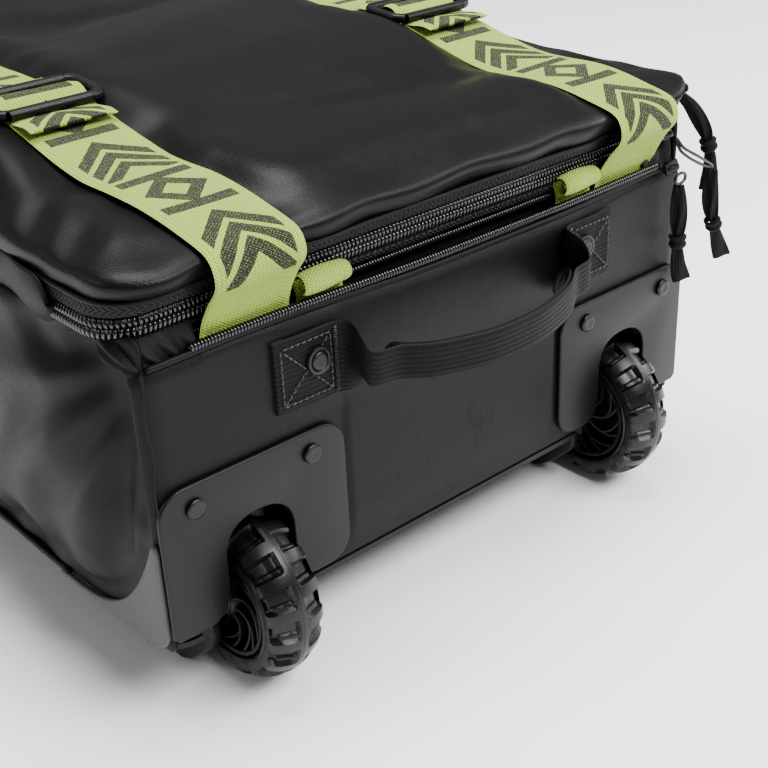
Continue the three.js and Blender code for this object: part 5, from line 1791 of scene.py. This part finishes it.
def folding_webbing(build, path, side, width, thickness, fold):
    """Webbing whose halves fold together where fold is 1 and which lies flat where it is 0."""
    path = np.asarray(path, float)
    _, across, normal = frames(path, side)
    steps = 28
    w = np.linspace(-width / 2, width / 2, steps + 1)
    crease = 1 - smoothstep(w, -2.2, 2.2)
    rings = []
    for i, f in enumerate(fold):
        angle = math.pi * f * crease
        direction = np.column_stack([np.cos(angle), np.sin(angle)])
        centre = np.zeros((steps + 1, 2))
        centre[1:] = np.cumsum((direction[1:] + direction[:-1]) / 2 * (w[1] - w[0]), axis=0)
        centre -= (centre.max(0) + centre.min(0)) / 2
        out = np.column_stack([-direction[:, 1], direction[:, 0]])
        edge = np.sqrt(np.clip(1 - (np.abs(w) / (width / 2)) ** 14, 0, 1))[:, None]
        front = centre + out * edge * thickness / 2
        back = (centre - out * edge * thickness / 2)[::-1]
        ring = np.vstack([front, back])
        rings.append(path[i] + across[i] * ring[:, :1] + normal[i] * ring[:, 1:])
    count = 2 * (steps + 1)
    rings = np.array(rings)
    v = np.concatenate([w, w[::-1]])
    uv = np.stack([np.broadcast_to(lengths(path)[:, None], (len(path), count)),
                   np.broadcast_to(v[None], (len(path), count))], 2) * MM
    build.add(rings.reshape(-1, 3), band_faces(len(path), steps), uv.reshape(-1, 2))


def box_stitching(name, centre, half, level, axis="y"):
    """A stitched square with a cross in it, on a face that looks along the axis."""
    across, up = centre
    out = (1, 0, 0) if axis == "x" else (0, 1, 0)
    stitch, thread = 3.4, 2.5
    corners = box_outline(-half, -half, half, half)
    lines = [(corners[i], corners[(i + 1) % 4]) for i in range(4)]
    lines += [(corners[0], corners[2]), (corners[1], corners[3])]
    build = Build()
    section = oval(0.34, 0.34, 6)
    for a, b in lines:
        length = math.dist(a, b)
        for k in range(int(length / stitch)):
            s0 = (k * stitch + 0.4) / length
            s1 = min((k * stitch + 0.4 + thread) / length, 1)
            line = []
            for t, rise in ((0, -0.2), (0.3, 0.25), (0.7, 0.25), (1, -0.2)):
                s = s0 + (s1 - s0) * t
                place = (across + a[0] + (b[0] - a[0]) * s, level - rise)
                line.append((*(place[::-1] if axis == "x" else place),
                             up + a[1] + (b[1] - a[1]) * s))
            line = np.array(line)
            swept(build, line, np.cross(line[-1] - line[0], out), section)
    settle(build.done(name, THREAD), "shell")


def bartack(build, x, z0, z1, y):
    """A dense bar of zigzag thread across the webbing."""
    line = [(x + (1.1 if k % 2 else -1.1), y, z) for k, z in enumerate(np.arange(z0, z1, 0.55))]
    section = oval(0.34, 0.3, 5)
    swept(build, line, (0, 1, 0), section)


def build_front_handle():
    """The front handle: a patch, cross, bartack and rivet at each end, and its folded loop."""
    low, high = cad_box("front_handle_tab_right")
    middle_z = (low[2] + high[2]) / 2
    wall = FRONT_Y - 2.2
    grip_y = cad_box("front_grab_handle")[0][1] + 2.2
    half = [(113, wall - 0.3), (104, wall - 0.6), (94, wall - 1.1), (85, wall - 0.9),
            (78, wall - 1.6), (73.5, wall - 5.5), (69.5, wall - 11), (64, wall - 17.5),
            (56, wall - 24.5), (46, wall - 31), (34, wall - 35.5), (20, grip_y + 1.6),
            (8, grip_y + 0.2)]
    sag = [0, 0, 0, 0, 0, -0.4, -1.0, -1.6, -2.2, -2.8, -3.2, -3.6, -3.8]
    left, right = ([(side * x, y, middle_z + s) for (x, y), s in zip(half, sag)]
                   for side in (-1, 1))
    route = resample(np.array(left + right[::-1]), 190)
    fold = smoothstep(from_ends(route), 37, 66)
    for name, side in SIDES.items():
        build = Build()
        patch = [(side * x, wall + 1.1, middle_z) for x in (78, 90, 102, 113)][::side]
        webbing(build, resample(np.array(patch), 14), (0, 0, 1), HANDLE_WIDTH, 1.6)
        tab = build.done(f"front_handle_patch_{name}", WEBBING)
        settle(tab, "shell", f"front_handle_tab_{name}")
        box_stitching(f"front_handle_cross_{name}", (side * 96, middle_z), 14, wall - 2.2)
        tack = Build()
        bartack(tack, side * 79.5, low[2] + 1.5, high[2] - 1.5, wall - 2.6)
        piece = tack.done(f"front_handle_bartack_{name}", THREAD)
        settle(piece, "shell")
        build_rivet(f"handle_rivet_{name}", f"handle_rivet_{name}_head", 4.6, washer=True)
    build = Build()
    folding_webbing(build, route, (0, 0, 1), HANDLE_WIDTH, 1.7, fold)
    loop = build.done("front_handle_webbing", WEBBING)
    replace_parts(loop, "front_grab_handle")
    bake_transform(loop)


def build_side_handles():
    """A strip sewn to each side, with its folded loop stitched to both ends."""
    for name, side in SIDES.items():
        low, high = cad_box(f"{name}_handle_strip")
        loop_low, loop_high = cad_box(f"{name}_grab_handle")
        wall = min(abs(low[0]), abs(high[0])) + 1.2
        out = max(abs(loop_low[0]), abs(loop_high[0])) - 2.0
        middle_y, middle_z = (low[1] + high[1]) / 2, (low[2] + high[2]) / 2
        ends = (high[1] - low[1]) / 2
        line = [(side * wall, middle_y + d, middle_z + 0.3 * math.sin(d / 17))
                for d in np.linspace(-ends, ends, 90)]
        build = Build()
        webbing(build, line, (0, 0, 1), HANDLE_WIDTH, 1.7)
        strip = build.done(f"{name}_handle_base", WEBBING)
        settle(strip, "shell", f"{name}_handle_strip")
        half = [(ends - 6, wall + 1.7), (92, wall + 1.8), (82, wall + 2.0), (74, wall + 2.6),
                (66, wall + 5.4), (58, wall + 8.2), (46, out - 1.4), (30, out - 0.4), (12, out)]
        route = [(side * x, middle_y - d, middle_z) for d, x in half]
        route += [(side * x, middle_y + d, middle_z) for d, x in half[::-1]]
        route = resample(np.array(route), 170)
        fold = smoothstep(from_ends(route), 38, 60)
        build = Build()
        folding_webbing(build, route, (0, 0, side), HANDLE_WIDTH, 1.6, fold)
        loop = build.done(f"{name}_handle_webbing", WEBBING)
        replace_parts(loop, f"{name}_grab_handle")
        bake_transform(loop)
        for end, place in (("front", middle_y - 92), ("rear", middle_y + 92)):
            box_stitching(f"{name}_handle_cross_{end}", (place, middle_z), 13,
                          side * (wall + 2.9), axis="x")


# ------------------------------------------------------------------ sliders, wires and pulls
def slider_body(build, centre, along, out, length, width, height):
    """A zip slider: two waisted plates, side flanges and an arched bridge."""
    along, out = unit(along), unit(out)
    parts = Build()
    waist = []
    for k in range(28):
        a = 2 * math.pi * k / 28
        u, v = math.cos(a), math.sin(a)
        w = width / 2 * (0.78 + 0.22 * u * u + 0.1 * u)
        waist.append((length / 2 * np.sign(u) * abs(u) ** 0.7, w * np.sign(v) * abs(v) ** 0.7))
    slab(parts, waist, height * 0.25, height * 0.55, "z", bevel=0.45, steps=3)
    slab(parts, waist, -height * 0.5, -height * 0.25, "z", bevel=0.4, steps=3)
    for s in (1, -1):
        flange = rounded_outline(-length * 0.34, s * width * 0.4 - 0.7, length * 0.2,
                                 s * width * 0.4 + 0.7, 0.5, 2)
        slab(parts, flange, -height * 0.4, height * 0.4, "z", bevel=0.3, steps=2)
    bridge = [(-length * 0.32, 0, height * 0.5), (-length * 0.28, 0, height * 0.85),
              (-length * 0.1, 0, height * 1.05), (length * 0.12, 0, height * 1.0),
              (length * 0.28, 0, height * 0.8), (length * 0.32, 0, height * 0.5)]
    swept(parts, resample(np.array(bridge), 18), (0, 1, 0),
          rounded_outline(-1.1, -0.45, 1.1, 0.45, 0.35, 2))
    basis = np.stack([along, np.cross(out, along), out])
    build.add(np.vstack(parts.points) @ basis + centre, parts.faces, np.vstack(parts.uv))


def build_sliders():
    specs = (
        ("side_slider", "side_pull", (0, 1, 0), (1, 0, 0.15), 13, 7.6, 5.0),
        ("front_slider", "shell", (-1, 0, 0), (0, -1, 0.1), 10.4, 6.4, 5.0),
        ("strap_slider", "strap_zip_slider", (-1, 0, 0), (0, -1, 0.25), 11.6, 7.4, 4.6),
    )
    for node, body, along, out, length, width, height in specs:
        low, high = cad_box(node)
        build = Build()
        slider_body(build, (low + high) / 2, along, out, length, width, height)
        piece = shade(build.done(f"{node}_casting", BLACKENED))
        settle(piece, body, node)


WIRES = {
    "front_pull_wire": [(173, -253.2, 196.5), (175, -256, 190.5), (180.5, -257.6, 186),
                        (188, -258, 181.5), (197, -257.6, 176.5), (203.4, -257, 173.2)],
    "strap_pull_wire": [(165 + 4.5 * math.cos(a), -263.7, 177.7 + 3.0 * math.sin(a))
                        for a in np.linspace(0, 2 * math.pi, 31)],
}
PULLS = {
    "side_pull": [(191.6, -241, 214), (196, -245, 208), (201, -248, 199), (206, -250, 189),
                  (209, -251, 178), (209.5, -251.5, 167), (207, -252, 157)],
    "front_pull": [(204.5, -257, 171), (203.6, -257, 163), (204.2, -257, 152),
                   (207.4, -256.5, 142), (212, -256, 133), (217, -255.5, 123), (222, -255.5, 113)],
    "strap_pull": [(165, -263, 173.6), (165.2, -263.5, 165), (165.8, -263.5, 155),
                   (166.2, -263.5, 145), (166.8, -263.5, 135), (168.4, -263.5, 125),
                   (171.5, -264, 116)],
}
PULL_WIDTH = 9.5


def build_pulls():
    """Soft ribbon pulls: a doubled band through the wire, a knot, and two flared tails."""
    for name, route in PULLS.items():
        path = resample(np.array(route, float), 90)
        run = lengths(path)
        total = run[-1]
        build = Build()
        facing = (0.76, -0.65, 0)
        knot = 0.56 * total
        narrow = 1 - 0.42 * np.exp(-((run - knot) / 4.5) ** 2)
        flare = 0.72 + 0.42 * smoothstep(run, knot + 3, total)
        width = PULL_WIDTH * np.where(run < knot, 0.62, flare) * narrow
        turn = 0.5 * np.sin(run / 15)
        side = np.column_stack([facing[0] * np.cos(turn), facing[1] * np.cos(turn),
                                0.3 * np.sin(turn)])
        spread = np.column_stack([2.1 * np.sin(np.pi * np.clip(run / knot, 0, 1)) * d
                                  for d in facing])
        webbing(build, path + spread, side, width * 0.96, 1.3, lambda along, v: 0.55 * np.sin(
            v[None, :] * 6 + along[:, None] / 6.5) + 0.9)
        last = run < total - 4
        webbing(build, (path - spread)[last], side[last], width[last] * 0.9, 1.2,
                lambda along, v: 0.5 * np.cos(v[None, :] * 5 - along[:, None] / 7) - 0.9)
        centre = at_lengths(path, run, knot)
        tangent = unit(at_lengths(path, run, knot + 1) - centre)
        _, across, normal = frames(path, facing)
        at = int(np.argmin(np.abs(run - knot)))
        wrap = []
        for t in np.linspace(0, 1, 46):
            a = 2 * math.pi * 1.6 * t
            wrap.append(centre + across[at] * 3.8 * math.cos(a) + normal[at] * 2.8 * math.sin(a)
                        + tangent * (5.0 * (t - 0.5) + 1.1 * math.sin(a)))
        webbing(build, np.array(wrap), tangent, 4.6, 1.5, lambda along, v: 0.5 * np.cos(
            v[None, :] * 7 + along[:, None] / 5))
        ribbon = build.done(f"{name}_band", RIBBON)
        settle(ribbon, name, f"{name}_ribbon")


def build_wires():
    """The front pull's wire is a hairpin of two strands, and the strap pull's a closed ring."""
    section = oval(0.9, 0.9, 12)
    for node, route in WIRES.items():
        path = resample(np.array(route, float), 50)
        build = Build()
        run = lengths(path)
        share = np.sqrt(np.sin(np.pi * run / run[-1]).clip(0))[:, None]
        for offset in (-1.0, 1.0) if node.startswith("front") else (0.0,):
            shift = np.array([0.4, -0.2, 0.9]) * offset * 1.6 * share
            swept(build, path + shift, (0, 1, 0), section)
        piece = shade(build.done(f"{node}_bent", WIRE), 50)
        settle(piece, node.replace("_wire", ""), node)


# ------------------------------------------------------------------ floor and light
def build_stage():
    """A pale floor just below the object, a dim white world and four soft lamps."""
    size, level = 6000, -0.4
    points = [(x, y, level) for x, y in box_outline(-size, -size, size, size)]
    paint = Paint("floor", roughness=0.85)
    paint.colour(srgb(250, 250, 250))
    floor = make("floor", points, [(0, 1, 2, 3)], paint.material)

    world = bpy.data.worlds.new("studio")
    world.use_nodes = True
    background = world.node_tree.nodes["Background"]
    background.inputs["Color"].default_value = (1, 1, 1, 1)
    background.inputs["Strength"].default_value = 0.3
    bpy.context.scene.world = world

    lamps = (
        ("key", (0.5, -1.5, 1.8), 1.4, 88), ("fill", (-1.7, 0.9, 1.2), 0.6, 8),
        ("top", (0.2, 0.2, 2.4), 1.5, 98), ("right", (1.9, -0.7, 1.0), 1.0, 26),
    )
    for name, place, width, power in lamps:
        data = bpy.data.lights.new(name, "AREA")
        data.shape = "RECTANGLE"
        data.size = width
        data.size_y = width * 0.7
        data.energy = power
        lamp = bpy.data.objects.new(name, data)
        lamp.location = place
        lamp.rotation_mode = "QUATERNION"
        aim = Vector((0, -0.1, 0.15)) - Vector(place)
        lamp.rotation_quaternion = aim.to_track_quat("-Z", "Y")
        bpy.context.scene.collection.objects.link(lamp)


def paint_frame():
    """Gives each CAD node that still shows its material."""
    by_slot = {"coated": COATED, "twill": TWILL, "plastic": PLASTIC, "guard": GUARD,
               "tyre": RUBBER, "lime": LIME, "webbing": WEBBING, "zip": COIL, "steel": STEEL,
               "aluminium": ALUMINIUM}
    slots = {row["node"]: row["material_slot"] for row in frame["record"]["subparts"]}
    for node, obj in frame["nodes"].items():
        obj.data.materials.clear()
        obj.data.materials.append(by_slot[slots[node]])
        if not obj.hide_render:
            bevel = obj.modifiers.new("edges", "BEVEL")
            bevel.width = 0.0005
            bevel.segments = 2
            bevel.angle_limit = math.radians(40)


make_camera()
build_pulls()
build_wires()
build_stage()
lid = build_lid()
for side_name in SIDES:
    build_side(side_name)
strap_paths = build_straps(lid)
build_tri_glides(strap_paths)
build_panel()
build_plates()
build_guards()
for side_name, side_sign in SIDES.items():
    build_tyre(side_name, side_sign)
    build_rim(side_name, side_sign)
    build_axle_cap(side_name, side_sign)
build_housings()
for side_name, side_sign in SIDES.items():
    build_fork(side_name, side_sign)
    build_rail(side_name)
build_rear()
build_body_piping()
build_bezel()
build_grip()
build_button()
build_tubes()
build_main_zip()
build_zip_tapes()
build_strap_zip()
build_pocket()
build_gussets()
build_hinge_strip()
build_front_handle()
build_side_handles()
build_sliders()
paint_frame()
